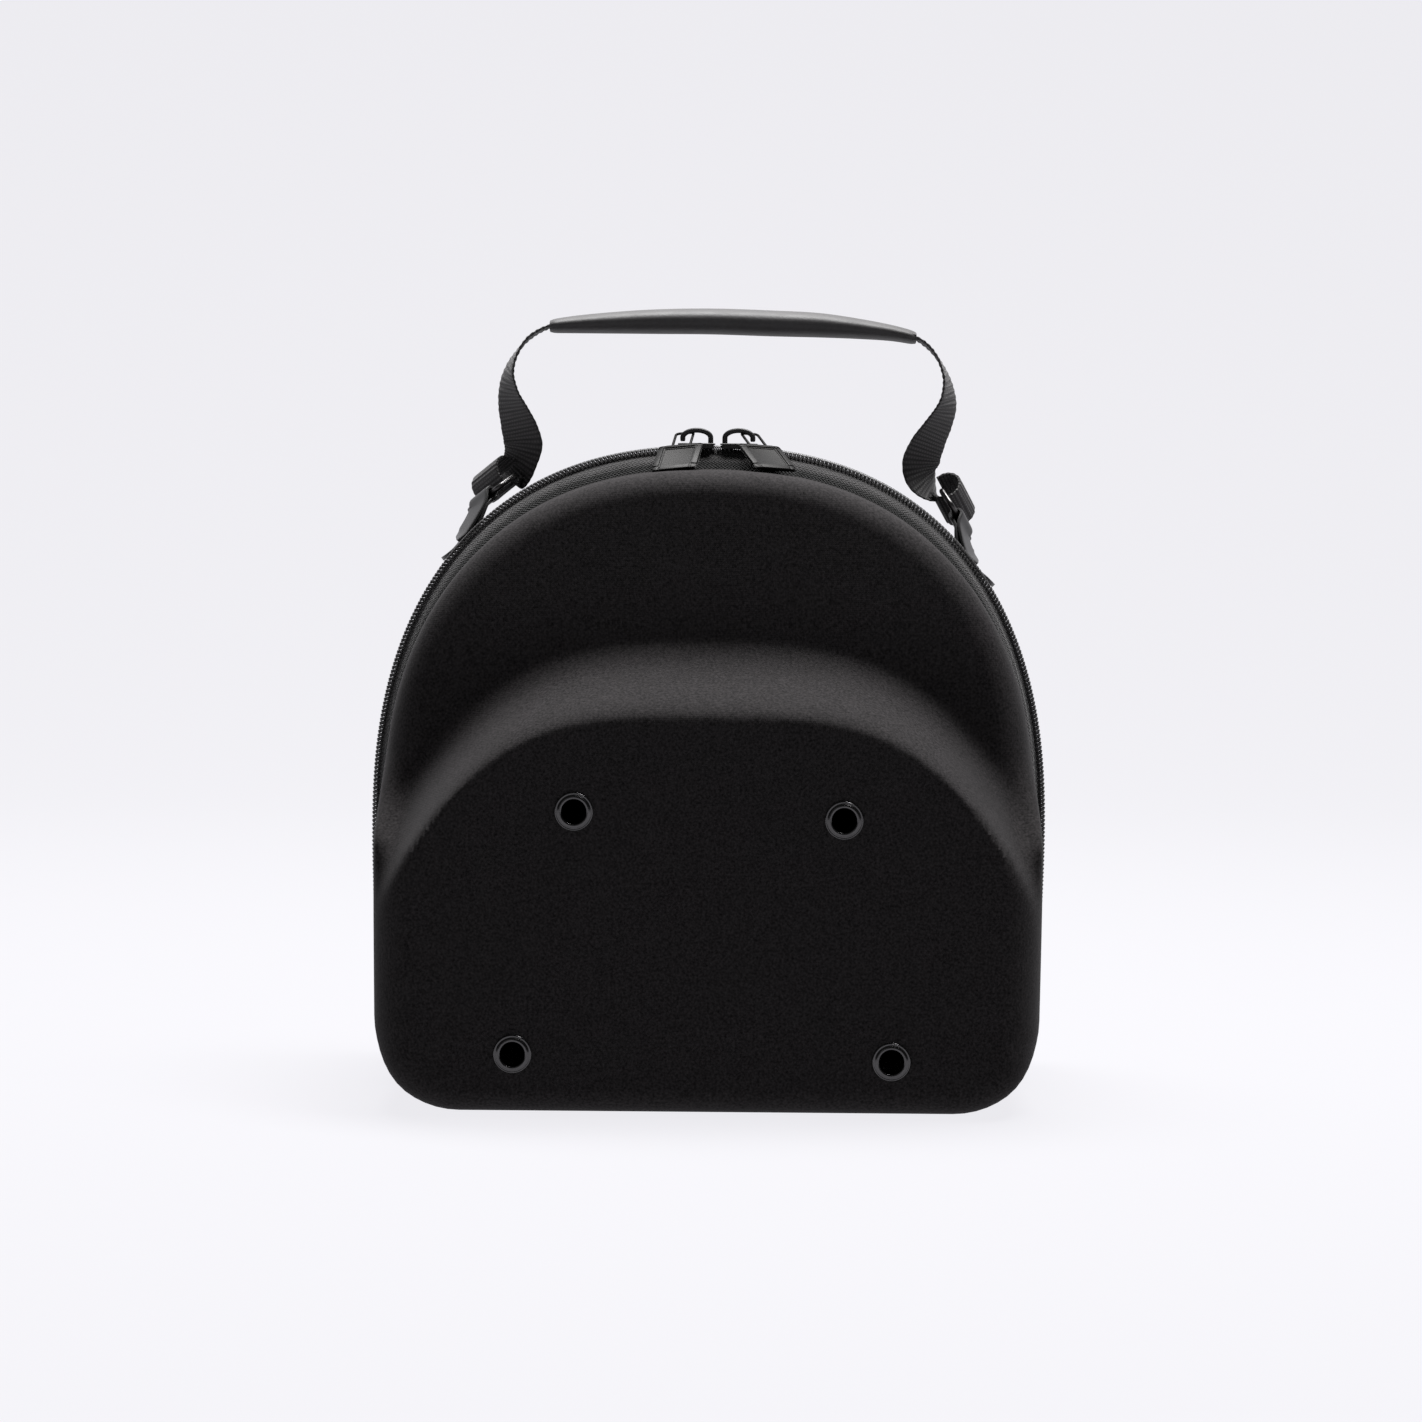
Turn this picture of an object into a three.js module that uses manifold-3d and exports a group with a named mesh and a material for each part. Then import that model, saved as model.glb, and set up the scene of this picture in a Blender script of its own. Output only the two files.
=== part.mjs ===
import * as THREE from 'three';
import { mergeVertices } from 'three/addons/utils/BufferGeometryUtils.js';
import Module from 'manifold-3d';

// Cap carrier: a moulded two-shell case with a zip round its arch, four vent eyelets and a strap
// handle. Millimetres, +Z up, the front faces -Y, the case stands on its flat bottom at z = 0.
// All depths below are measured from the parting plane of the zip.
const CASE = { halfWidth: 140.5, height: 264, spring: 104, power: 2.35, corner: 40, footHalf: 138 };
const STEPS = { bottom: 3, corner: 4, side: 4, arch: 40, crowd: 1.35 };
const WALL = 4.2;
const GAP = 0.3;
const CENTRE_Y = 21.2;

// Insets of each outline from the outer edge of the zip coil.
const FRONT_RIM = { side: 6.4, foot: 4.4, top: 9.6, bottom: 0 };
const BACK_RIM = { side: 3.6, foot: 3.6, top: 3.6, bottom: 0 };
const RIM_Y = 10;

// Front face levels, measured from the rim plane, and the ledge between dome and bulge.
const FACE = { dome: 47, bulge: 92, domeLean: 9 };
const LEDGE = {
  crest: 170.5, drop: 80, halfSpan: 131, power: 3.4, half: 15, sideHalf: 8, sideBite: 0.8,
  inside: 0.7,
};

// Rounding of the face edge by place on the outline: inward run, depth run, draft.
const EDGE = {
  top: { run: 22, deep: 38, draft: 0.02 },
  side: { run: 18, deep: 32, draft: 0.004 },
  bottom: { run: 11, deep: 15, draft: 0 },
};
const BACK_EDGE = { run: 24, deep: 26, draft: 0.03 };
const BACK_DEPTH = 51;

const TAPE = { coilInset: 3.1, thick: 1.2, coilY: 0.4, crownY: 4.2, rimY: 9.7, rimTuck: 1.0 };
const COIL = { wide: 3.0, high: 2.8, gapY: 0.15 };
const HINGE = { lift: 0.9, thick: 1.3 };

const EYELET = { flange: 7.6, hole: 4.7, barrel: 5.5, bore: 5.85, rim: 1.1, back: 1.0 };
const EYELETS = [
  { name: 'eyelet_upper_left', x: -52.8, z: 120.7 },
  { name: 'eyelet_upper_right', x: 53.2, z: 118.1 },
  { name: 'eyelet_lower_left', x: -76.4, z: 24.7 },
  { name: 'eyelet_lower_right', x: 72.8, z: 22.8 },
];

const SLIDER = { long: 15.6, wide: 11.8, post: 1.9, postLong: 4, plate: 0.7, skirt: 1.8 };
const SLIDERS = [
  { name: 'left', x: -6.3, out: -1, axis: [0.964, -0.205, 0.1], hang: [-0.1, -0.87, -0.47] },
  { name: 'right', x: 11.2, out: 1, axis: [0.9, 0.41, -0.06], hang: [0.36, -0.81, -0.46] },
];
const HOOK = { rx: 6.9, rz: 6.6, wire: 1.9, wide: 2.4, leg: 2.55, tipGap: 0.8 };
const PULL = { wide: 18.4, long: 20.4, thick: 1.2, border: 1.5, proud: 0.4 };
const EYE = { wide: 6.4, back: 2.4, front: 7.0, wire: 1.1 };

const STRAP = { wide: 20, thick: 1.6, loop: 6.3 };
const RING = { bar: 25, tall: 11, wire: 1.2, corner: 2.4 };
const TAB = { wide: 14, thick: 2.0, eye: 2.6, open: 100, run: 4.5, drift: 5.5 };
const GRIP_Y = 26;

// Strap stations from the grip end down to the ring; turn is the angle of the webbing's width
// away from the depth axis, towards the middle of the case.
const SIDES = [
  {
    name: 'left', out: -1, slope: 37.5, skew: 45, loop: [-91.0, 33, 249.0],
    stations: [
      { x: -81.3, y: 33, z: 257.4, turn: 47 },
      { x: -80.1, y: 32, z: 264.2, turn: 57 },
      { x: -81.3, y: 31, z: 271.4, turn: 52 },
      { x: -84.3, y: 30, z: 278.9, turn: 40 },
      { x: -86.0, y: 29, z: 286.1, turn: 26 },
      { x: -85.8, y: 28, z: 294.2, turn: 14 },
      { x: -82.6, y: 27, z: 302.2, turn: 6 },
      { x: -76.8, y: 26.4, z: 309.2, turn: 0 },
    ],
    tab: [
      { x: -100.6, off: 1.0, turn: 26 },
      { x: -103.4, off: 0.2, turn: 14 },
      { x: -106.4, off: 0.2, turn: 4 },
      { x: -109.2, off: 0.6, turn: 0 },
      { x: -111.6, off: 1.8, turn: 0 },
    ],
  },
  {
    name: 'right', out: 1, slope: 59.0, skew: 45, loop: [102.4, 33, 242.2],
    stations: [
      { x: 89.2, y: 33, z: 252.2, turn: 47 },
      { x: 88.9, y: 32, z: 258.4, turn: 55 },
      { x: 91.7, y: 31, z: 265.9, turn: 50 },
      { x: 95.5, y: 30, z: 273.0, turn: 40 },
      { x: 98.5, y: 29, z: 279.8, turn: 29 },
      { x: 99.5, y: 28, z: 286.3, turn: 18 },
      { x: 98.6, y: 27.4, z: 293.5, turn: 10 },
      { x: 95.1, y: 27, z: 301.2, turn: 4 },
      { x: 90.2, y: 26.4, z: 306.9, turn: 0 },
    ],
    tab: [
      { x: 106.2, off: -0.4, turn: 22 },
      { x: 109.2, off: -0.8, turn: 12 },
      { x: 112.2, off: -0.6, turn: 4 },
      { x: 115.0, off: 0.6, turn: 0 },
      { x: 117.6, off: 1.8, turn: 0 },
    ],
  },
];
const GRIP = [
  { x: -68.4, z: 313.6, thick: 5.6, wide: 24.0 },
  { x: -60.0, z: 314.3, thick: 7.0, wide: 25.4 },
  { x: -46.0, z: 315.1, thick: 8.6, wide: 27.0 },
  { x: -25.0, z: 315.9, thick: 10.2, wide: 28.2 },
  { x: 0.0, z: 316.2, thick: 10.8, wide: 28.6 },
  { x: 25.0, z: 315.6, thick: 10.8, wide: 28.6 },
  { x: 45.0, z: 315.0, thick: 10.2, wide: 28.0 },
  { x: 62.0, z: 313.6, thick: 8.4, wide: 26.8 },
  { x: 76.0, z: 311.9, thick: 6.6, wide: 25.2 },
  { x: 85.3, z: 310.0, thick: 5.6, wide: 24.0 },
];
const GRIP_SLOT = { wide: 22.0, thick: 3.2 };

const COLOURS = {
  fabric: { color: 0x191818, roughness: 0.9, metalness: 0 },
  tape: { color: 0x2a2929, roughness: 0.85, metalness: 0 },
  webbing: { color: 0x242323, roughness: 0.8, metalness: 0 },
  grip: { color: 0x3a3839, roughness: 0.75, metalness: 0 },
  gloss: { color: 0x1c1b1c, roughness: 0.35, metalness: 0 },
  pewter: { color: 0x8d8b88, roughness: 0.35, metalness: 1 },
  gunmetal: { color: 0x4b4a4b, roughness: 0.3, metalness: 1 },
};

const wasm = await Module();
wasm.setup();

const UP = new THREE.Vector3(0, 0, 1);
const FORWARD = new THREE.Vector3(0, -1, 0);
const vec = (x, y, z) => new THREE.Vector3(x, y, z);
const mix = (a, b, t) => a + (b - a) * t;
const smooth = (a, b, v) => THREE.MathUtils.smoothstep(v, a, b);
const rad = THREE.MathUtils.degToRad;

// A closed solid from rings of points: neighbours are bridged, ends get a fan or a lid.
class Skin {
  constructor() {
    this.points = [];
    this.faces = [];
  }

  ring(points) {
    const start = this.points.length;
    this.points.push(...points);
    return { start, count: points.length };
  }

  bridge(a, b) {
    const apart = (i, j) => this.points[i].distanceToSquared(this.points[j]);
    for (let i = 0; i < a.count; i += 1) {
      const j = (i + 1) % a.count;
      const [p, q, r, s] = [a.start + i, a.start + j, b.start + j, b.start + i];
      const shorter = apart(p, r) <= apart(q, s);
      this.faces.push(...(shorter ? [p, q, r, p, r, s] : [p, q, s, q, r, s]));
    }
  }

  fan(ring, tip, turned) {
    const at = this.points.length;
    this.points.push(tip);
    for (let i = 0; i < ring.count; i += 1) {
      const j = (i + 1) % ring.count;
      const face = [ring.start + i, ring.start + j, at];
      this.faces.push(...(turned ? face.reverse() : face));
    }
  }

  geometry() {
    let volume = 0;
    for (let f = 0; f < this.faces.length; f += 3) {
      const [a, b, c] = [0, 1, 2].map((k) => this.points[this.faces[f + k]]);
      volume += a.dot(b.clone().cross(c));
    }
    const faces = volume < 0 ? this.faces.slice().reverse() : this.faces;
    const flat = this.points.flatMap((p) => [p.x, p.y, p.z]);
    const out = new THREE.BufferGeometry();
    out.setAttribute('position', new THREE.Float32BufferAttribute(flat, 3));
    out.setIndex(faces);
    return out;
  }
}

function middle(points) {
  return points.reduce((sum, p) => sum.add(p), vec(0, 0, 0)).multiplyScalar(1 / points.length);
}

function rod(rings) {
  const skin = new Skin();
  const made = rings.map((points) => skin.ring(points));
  made.slice(1).forEach((ring, i) => skin.bridge(made[i], ring));
  skin.fan(made[0], middle(rings[0]), true);
  skin.fan(made[made.length - 1], middle(rings[rings.length - 1]), false);
  return skin.geometry();
}

function hoop(rings) {
  const skin = new Skin();
  const made = rings.map((points) => skin.ring(points));
  made.forEach((ring, i) => skin.bridge(ring, made[(i + 1) % made.length]));
  return skin.geometry();
}

function solid(geometry) {
  const plain = geometry.clone();
  plain.deleteAttribute('normal');
  plain.deleteAttribute('uv');
  const welded = mergeVertices(plain, 1e-4);
  const mesh = new wasm.Mesh({
    numProp: 3,
    vertProperties: new Float32Array(welded.attributes.position.array),
    triVerts: new Uint32Array(welded.index.array),
  });
  return new wasm.Manifold(mesh);
}

function fromSolid(manifold) {
  const mesh = manifold.getMesh();
  const out = new THREE.BufferGeometry();
  out.setAttribute('position', new THREE.Float32BufferAttribute(mesh.vertProperties, 3));
  out.setIndex(Array.from(mesh.triVerts));
  return out;
}

// The case outline, drawn in by the given insets. It starts at the middle of the bottom and
// runs up the right side, over the arch and down the left side.
function outline(inset) {
  const half = CASE.halfWidth - inset.side;
  const foot = CASE.footHalf - inset.foot;
  const rise = CASE.height - CASE.spring - inset.top;
  const round = Math.max(CASE.corner - inset.foot, 4);
  const right = [];
  for (let i = 0; i < STEPS.bottom; i += 1) {
    right.push([(foot - round) * i / STEPS.bottom, inset.bottom]);
  }
  for (let i = 0; i < STEPS.corner; i += 1) {
    const turn = rad(90) * i / STEPS.corner;
    right.push([foot - round * (1 - Math.sin(turn)), inset.bottom + round * (1 - Math.cos(turn))]);
  }
  for (let i = 0; i < STEPS.side; i += 1) {
    const t = i / STEPS.side;
    right.push([
      mix(foot, half, Math.sin(rad(90) * t)), mix(inset.bottom + round, CASE.spring, t),
    ]);
  }
  const arch = new THREE.Path(Array.from({ length: 121 }, (_, i) => {
    const turn = rad(90) * i / 120;
    const across = half * Math.max(Math.cos(turn), 0) ** (2 / CASE.power);
    return new THREE.Vector2(across, CASE.spring + rise * Math.sin(turn) ** (2 / CASE.power));
  }));
  for (let i = 0; i < STEPS.arch / 2; i += 1) {
    const spot = arch.getPointAt((2 * i / STEPS.arch) ** STEPS.crowd);
    right.push([spot.x, spot.y]);
  }
  const left = right.slice(1).reverse().map(([x, z]) => [-x, z]);
  return [...right, [0, CASE.spring + rise], ...left];
}

function deeper(rim, more) {
  return {
    side: rim.side + more, foot: rim.foot + more, top: rim.top + more, bottom: rim.bottom + more,
  };
}

const ZIP_FIRST = STEPS.bottom + STEPS.corner;
const ZIP_LAST = 2 * (STEPS.bottom + STEPS.corner + STEPS.side) + STEPS.arch - ZIP_FIRST;

function archHeight(x) {
  const across = Math.min(Math.abs(x) / CASE.halfWidth, 1) ** CASE.power;
  return CASE.spring + (CASE.height - CASE.spring) * (1 - across) ** (1 / CASE.power);
}

// Place of a point across the ledge: -1 where the bulge begins, 1 where the dome begins.
// On the inside of the wall, skinIn deep, the ledge lies further in, so that the wall stays thick.
function ledgePlace(x, z, skinIn = 0) {
  const along = Math.min(Math.abs(x) / LEDGE.halfSpan, 1);
  const crest = LEDGE.crest - LEDGE.drop * along ** LEDGE.power;
  const slope = LEDGE.drop * LEDGE.power / LEDGE.halfSpan * along ** (LEDGE.power - 1);
  const off = (z - crest) / Math.hypot(1, slope) + skinIn * LEDGE.inside;
  return off / mix(LEDGE.half, LEDGE.sideHalf, along * along);
}

// Depth of the front face at a point: the leaning dome, the ledge, then the bulge. Towards its
// ends the ledge is crisper where it meets the bulge.
function faceDepth(x, z, skinIn = 0) {
  const dome = FACE.dome - FACE.domeLean * smooth(LEDGE.crest, CASE.height, z);
  const along = Math.min(Math.abs(x) / LEDGE.halfSpan, 1);
  const across = THREE.MathUtils.clamp((ledgePlace(x, z, skinIn) + 1) / 2, 0, 1);
  return mix(FACE.bulge, dome, smooth(0, 1, across ** mix(1, LEDGE.sideBite, along * along)));
}

// Steps from the edge of the face to its heart, so that they follow the ledge where it is crossed.
function ledgeSteps(p, heart, count, skinIn = 0) {
  const reaches = (place) => {
    let t = 0;
    while (t < 0.8 && ledgePlace(mix(p.x, heart[0], t), mix(p.z, heart[1], t), skinIn) > place) {
      t += 0.01;
    }
    return t;
  };
  const from = Math.max(reaches(1), 0.03);
  const to = Math.max(reaches(-1), from + 0.09);
  const across = Array.from({ length: count }, (_, i) => mix(from, to, i / (count - 1)));
  return [from / 2, ...across, mix(to, 1, 0.5)];
}

function edgeAt(z) {
  const low = smooth(6, 30, z);
  const high = smooth(110, 215, z);
  const pick = (key) => mix(mix(EDGE.bottom[key], EDGE.side[key], low), EDGE.top[key], high);
  return { run: pick('run'), deep: pick('deep'), draft: pick('draft') };
}

// Rings of one shell surface, from the rim over the rounded edge to the middle of the face.
// skinIn draws the whole surface inwards, for the inside of the wall.
function dish({ rim, dir, depth, edge, skinIn, wallSteps, edgeSteps, faceSteps, heart }) {
  const rings = [];
  const base = outline(deeper(rim, skinIn));
  const put = (p, y) => vec(p[0], dir * y, p[1]);
  const inward = (j, run) => outline(deeper(rim, skinIn + run))[j];
  const shape = base.map((p, j) => {
    const at = edge(p[1]);
    const run = Math.max(at.run - skinIn * 1.5, 4);
    const deep = Math.max(at.deep - skinIn * 1.5, 5);
    return { ...at, run, deep, lip: inward(j, run) };
  });
  const level = (p) => depth(p[0], p[1], skinIn) - skinIn;
  for (let k = 0; k <= wallSteps; k += 1) {
    const t = k / wallSteps;
    rings.push(base.map((p, j) => {
      const tall = Math.max(level(shape[j].lip) - shape[j].deep, 1) * t;
      return put(inward(j, tall * shape[j].draft), RIM_Y + tall);
    }));
  }
  for (let k = 1; k <= edgeSteps; k += 1) {
    const turn = rad(90) * k / edgeSteps;
    rings.push(base.map((p, j) => {
      const s = shape[j];
      const wall = Math.max(level(s.lip) - s.deep, 1);
      const q = inward(j, wall * s.draft + s.run * (1 - Math.cos(turn)));
      const top = mix(level(s.lip), level(q), Math.sin(turn) ** 2);
      return put(q, RIM_Y + wall + (top - wall) * Math.sin(turn));
    }));
  }
  const lip = rings[rings.length - 1];
  const runs = lip.map((p) => faceSteps(p, heart));
  runs[0].forEach((_, k) => {
    rings.push(lip.map((p, j) => {
      const t = runs[j][k];
      const q = [mix(p.x, heart[0], t), mix(p.z, heart[1], t)];
      return put(q, RIM_Y + level(q));
    }));
  });
  return { rings, heart: put(heart, RIM_Y + level(heart)) };
}

function shell(plan, innerPlan) {
  const skin = new Skin();
  const outer = dish({ ...plan, skinIn: 0 });
  const inner = dish({ ...plan, ...innerPlan, skinIn: WALL });
  const out = outer.rings.map((ring) => skin.ring(ring));
  const inn = inner.rings.map((ring) => skin.ring(ring));
  out.slice(1).forEach((ring, i) => skin.bridge(out[i], ring));
  inn.slice(1).forEach((ring, i) => skin.bridge(ring, inn[i]));
  skin.bridge(inn[0], out[0]);
  skin.fan(out[out.length - 1], outer.heart, false);
  skin.fan(inn[inn.length - 1], inner.heart, true);
  return skin.geometry();
}

function frontShell() {
  const plan = {
    rim: FRONT_RIM, dir: -1, depth: faceDepth, edge: edgeAt, wallSteps: 2, edgeSteps: 6,
    faceSteps: (p, heart) => ledgeSteps(p, heart, 5), heart: [0, 96],
  };
  let body = solid(shell(plan, { edgeSteps: 3, faceSteps: (p, heart) => ledgeSteps(p, heart, 3, WALL) }));
  EYELETS.forEach((spot) => {
    const drill = new THREE.CylinderGeometry(EYELET.bore, EYELET.bore, 60, 20);
    drill.translate(spot.x, -RIM_Y - FACE.bulge, spot.z);
    body = body.subtract(solid(drill));
  });
  return fromSolid(body);
}

function backShell() {
  const plan = {
    rim: BACK_RIM, dir: 1, depth: () => BACK_DEPTH, wallSteps: 1, edgeSteps: 4,
    edge: (z) => ({
      run: mix(EDGE.bottom.run, BACK_EDGE.run, smooth(6, 40, z)),
      deep: mix(EDGE.bottom.deep, BACK_EDGE.deep, smooth(6, 40, z)),
      draft: BACK_EDGE.draft * smooth(6, 60, z),
    }),
    faceSteps: () => [0.5], heart: [0, 120],
  };
  return shell(plan, { edgeSteps: 3 });
}

// How far the closed rows stand apart beside the slider posts.
function mouth(x) {
  const from = SLIDERS[0].x;
  const to = SLIDERS[1].x;
  const rise = smooth(from - 7, from + 2, x) * (1 - smooth(to - 2, to + 7, x));
  return rise * (SLIDER.post / 2 + GAP - COIL.gapY);
}

// A band along the zip: each row of the section gives depth and inset at the coil and rim.
function zipBand(dir, section) {
  const rows = section.map((row) => ({ ...row, line: outline(row.inset) }));
  const crown = (ZIP_FIRST + ZIP_LAST) / 2;
  const rings = [];
  for (let j = ZIP_FIRST; j <= ZIP_LAST; j += Math.abs(j + 0.5 - crown) < 1.5 ? 0.25 : 1) {
    const k = Math.floor(j);
    rings.push(rows.map((row) => {
      const from = row.line[k];
      const to = row.line[k + 1];
      const x = mix(from[0], to[0], j - k);
      const z = mix(from[1], to[1], j - k);
      const open = z > CASE.spring ? mouth(x) * row.opens : 0;
      return vec(x, dir * (row.y + open), z);
    }));
  }
  return rod(rings);
}

function even(inset) {
  return { side: inset, foot: inset, top: inset, bottom: inset };
}

function zipTape(dir, rim) {
  const crown = TAPE.coilInset + 0.3;
  const edge = deeper(rim, TAPE.rimTuck);
  const under = deeper(rim, TAPE.rimTuck + TAPE.thick);
  return zipBand(dir, [
    { y: TAPE.coilY, inset: even(TAPE.coilInset), opens: 1 },
    { y: TAPE.crownY, inset: even(crown), opens: 0.6 },
    { y: TAPE.rimY, inset: edge, opens: 0 },
    { y: TAPE.rimY, inset: under, opens: 0 },
    { y: TAPE.crownY, inset: even(crown + TAPE.thick), opens: 0.6 },
    { y: TAPE.coilY, inset: even(TAPE.coilInset + TAPE.thick), opens: 1 },
  ]);
}

function zipCoil(dir) {
  const far = COIL.gapY + COIL.wide;
  return zipBand(dir, [
    { y: COIL.gapY, inset: even(0.4), opens: 1 },
    { y: COIL.gapY + 1.0, inset: even(0), opens: 1 },
    { y: far, inset: even(0.9), opens: 1 },
    { y: far, inset: even(COIL.high), opens: 1 },
    { y: COIL.gapY, inset: even(COIL.high), opens: 1 },
  ]);
}

// Cloth strip round the bottom corners, from one end of the zip to the other.
function hingeTape() {
  const outer = (rim) => ({ ...deeper(rim, TAPE.rimTuck), bottom: HINGE.lift });
  const inner = (rim) => {
    return { ...deeper(rim, TAPE.rimTuck + HINGE.thick), bottom: HINGE.lift + HINGE.thick };
  };
  const crown = { ...even(TAPE.coilInset), bottom: HINGE.lift };
  const under = { ...even(TAPE.coilInset + HINGE.thick), bottom: HINGE.lift + HINGE.thick };
  const rows = [
    { y: -TAPE.rimY, inset: outer(FRONT_RIM) }, { y: 0, inset: crown },
    { y: TAPE.rimY, inset: outer(BACK_RIM) }, { y: TAPE.rimY, inset: inner(BACK_RIM) },
    { y: 0, inset: under }, { y: -TAPE.rimY, inset: inner(FRONT_RIM) },
  ].map((row) => ({ ...row, line: outline(row.inset) }));
  const count = rows[0].line.length;
  const rings = [];
  for (let j = ZIP_LAST; j <= count + ZIP_FIRST; j += 1) {
    rings.push(rows.map((row) => {
      const [x, z] = row.line[j % count];
      const end = j === ZIP_LAST || j === count + ZIP_FIRST ? -GAP : 0;
      return vec(x, row.y, z + end);
    }));
  }
  return rod(rings);
}

function eyelet() {
  const face = 0;
  const back = -WALL - 2 * GAP;
  const profile = [
    [EYELET.hole, face + 0.2], [EYELET.hole + 0.7, face + EYELET.rim],
    [EYELET.flange - 1.2, face + EYELET.rim], [EYELET.flange, face + 0.3], [EYELET.flange - 0.3, face],
    [EYELET.barrel, face], [EYELET.barrel, back], [EYELET.flange - 0.8, back],
    [EYELET.hole, back - EYELET.back],
  ];
  const rings = [];
  for (let i = 0; i < 16; i += 1) {
    const turn = rad(22.5) * i;
    rings.push(profile.map(([r, h]) => vec(r * Math.cos(turn), -h, r * Math.sin(turn))));
  }
  return hoop(rings);
}

function box(wide, deep, tall, x, y, z) {
  const made = new THREE.BoxGeometry(wide, deep, tall);
  made.translate(x, y, z);
  return solid(made);
}

// Slider body: crowned top plate with side flanges, a post between the rows and a plate inside.
function slider(spot) {
  const top = CASE.height + GAP;
  const half = SLIDER.wide / 2;
  const cap = new THREE.Shape([
    [-half, top - SLIDER.skirt], [-half + 1.1, top - SLIDER.skirt],
    [-half + 1.1, top - 0.4], [-half + 1.6, top], [half - 1.6, top], [half - 1.1, top - 0.4],
    [half - 1.1, top - SLIDER.skirt], [half, top - SLIDER.skirt], [half, top - 1.0],
    [half - 2.6, top + SLIDER.plate], [-half + 2.6, top + SLIDER.plate], [-half, top - 1.0],
  ].map(([a, b]) => new THREE.Vector2(a, b)));
  const plate = new THREE.ExtrudeGeometry(cap, { depth: SLIDER.long, bevelEnabled: false });
  plate.rotateX(rad(90));
  plate.rotateZ(rad(90));
  plate.translate(spot.x - SLIDER.long / 2, 0, 0);
  const low = CASE.height - TAPE.coilInset - TAPE.thick - GAP - 1.3;
  const postX = spot.x - spot.out * (SLIDER.long / 2 - 1.4 - SLIDER.postLong / 2);
  const body = solid(plate)
    .add(box(SLIDER.postLong, SLIDER.post, top - low + 0.6, postX, 0, (top + low) / 2 - 0.1))
    .add(box(SLIDER.long - 2, 7.6, 1.4, spot.x, 0, low - 0.7));
  const foot = top + SLIDER.plate - 0.2;
  const arch = new THREE.Shape();
  arch.moveTo(HOOK.rx, 0);
  arch.lineTo(HOOK.rx, HOOK.leg);
  arch.absellipse(0, HOOK.leg, HOOK.rx, HOOK.rz - HOOK.leg, 0, Math.PI, false);
  arch.lineTo(-HOOK.rx, HOOK.tipGap + 0.2);
  arch.lineTo(-HOOK.rx + HOOK.wire, HOOK.tipGap + 0.2);
  arch.lineTo(-HOOK.rx + HOOK.wire, HOOK.leg);
  arch.absellipse(0, HOOK.leg, HOOK.rx - HOOK.wire, HOOK.rz - HOOK.leg - HOOK.wire + 0.7, Math.PI, 0, true);
  arch.lineTo(HOOK.rx - HOOK.wire - 0.6, 0);
  const hook = new THREE.ExtrudeGeometry(arch, { depth: HOOK.wide, bevelEnabled: false, curveSegments: 7 });
  hook.translate(0, 0, -HOOK.wide / 2);
  hook.rotateX(rad(90));
  if (spot.out > 0) {
    hook.rotateZ(rad(180));
  }
  hook.translate(spot.x, 0, foot);
  return fromSolid(body.add(solid(hook)));
}

function pullHinge(spot) {
  const x = spot.x + spot.out * (HOOK.rx - HOOK.wire / 2 - 0.5);
  return vec(x, 0, CASE.height + GAP + SLIDER.plate + HOOK.leg + 0.15);
}

// Pull in its own axes: x along the eye bar, y down the plate, the hinge at the origin.
function pull() {
  const w = PULL.wide / 2;
  const eye = EYE.wide / 2;
  const outer = eye + EYE.wire;
  const back = -EYE.back - EYE.wire;
  const top = EYE.front + EYE.wire;
  const end = top + PULL.long;
  const face = new THREE.Shape([
    [-outer, back + 1], [-outer + 1, back], [outer - 1, back],
    [outer, back + 1], [outer, top], [w - 1, top], [w, top + 1], [w, end - 1.2], [w - 1.2, end],
    [-w + 1.2, end], [-w, end - 1.2], [-w, top + 1], [-w + 1, top], [-outer, top],
  ].map(([x, y]) => new THREE.Vector2(x, y)));
  const hole = [[-eye, -EYE.back], [-eye, EYE.front], [eye, EYE.front], [eye, -EYE.back]];
  face.holes.push(new THREE.Path(hole.map(([x, y]) => new THREE.Vector2(x, y))));
  const plate = new THREE.ExtrudeGeometry(face, { depth: PULL.thick, bevelEnabled: false });
  plate.translate(0, 0, -PULL.thick / 2);
  const sunk = PULL.border;
  const pit = new THREE.BoxGeometry(PULL.wide - 2 * sunk, PULL.long - 2 * sunk, PULL.proud * 2);
  pit.translate(0, (top + end) / 2, -PULL.thick / 2);
  return fromSolid(solid(plate).subtract(solid(pit)));
}

function pullBasis(spot) {
  const along = vec(...spot.axis).normalize();
  const hang = vec(...spot.hang);
  hang.addScaledVector(along, -hang.dot(along)).normalize();
  return { along, hang, face: along.clone().cross(hang) };
}

// Axes at a ring: along the outline upwards, out of the wall, the bar and down the ring.
function ringAxes(side) {
  const slope = rad(side.slope);
  const up = vec(-side.out * Math.cos(slope), 0, Math.sin(slope));
  const out = vec(side.out * Math.sin(slope), 0, Math.cos(slope));
  const skew = rad(side.skew);
  const bar = FORWARD.clone().multiplyScalar(Math.cos(skew)).addScaledVector(up, Math.sin(skew));
  const down = up.clone().multiplyScalar(-Math.cos(skew)).addScaledVector(FORWARD, Math.sin(skew));
  const loop = vec(...side.loop);
  const sag = UP.clone().addScaledVector(bar, -UP.dot(bar)).normalize();
  const topBar = loop.clone().addScaledVector(sag, -(STRAP.loop - STRAP.thick / 2 - RING.wire - GAP));
  const lowBar = topBar.clone().addScaledVector(down, RING.tall);
  return { up, out, bar, down, loop, topBar, lowBar };
}

function turned(turn, side) {
  return vec(-side.out * Math.sin(rad(turn)), -Math.cos(rad(turn)), 0);
}

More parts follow.
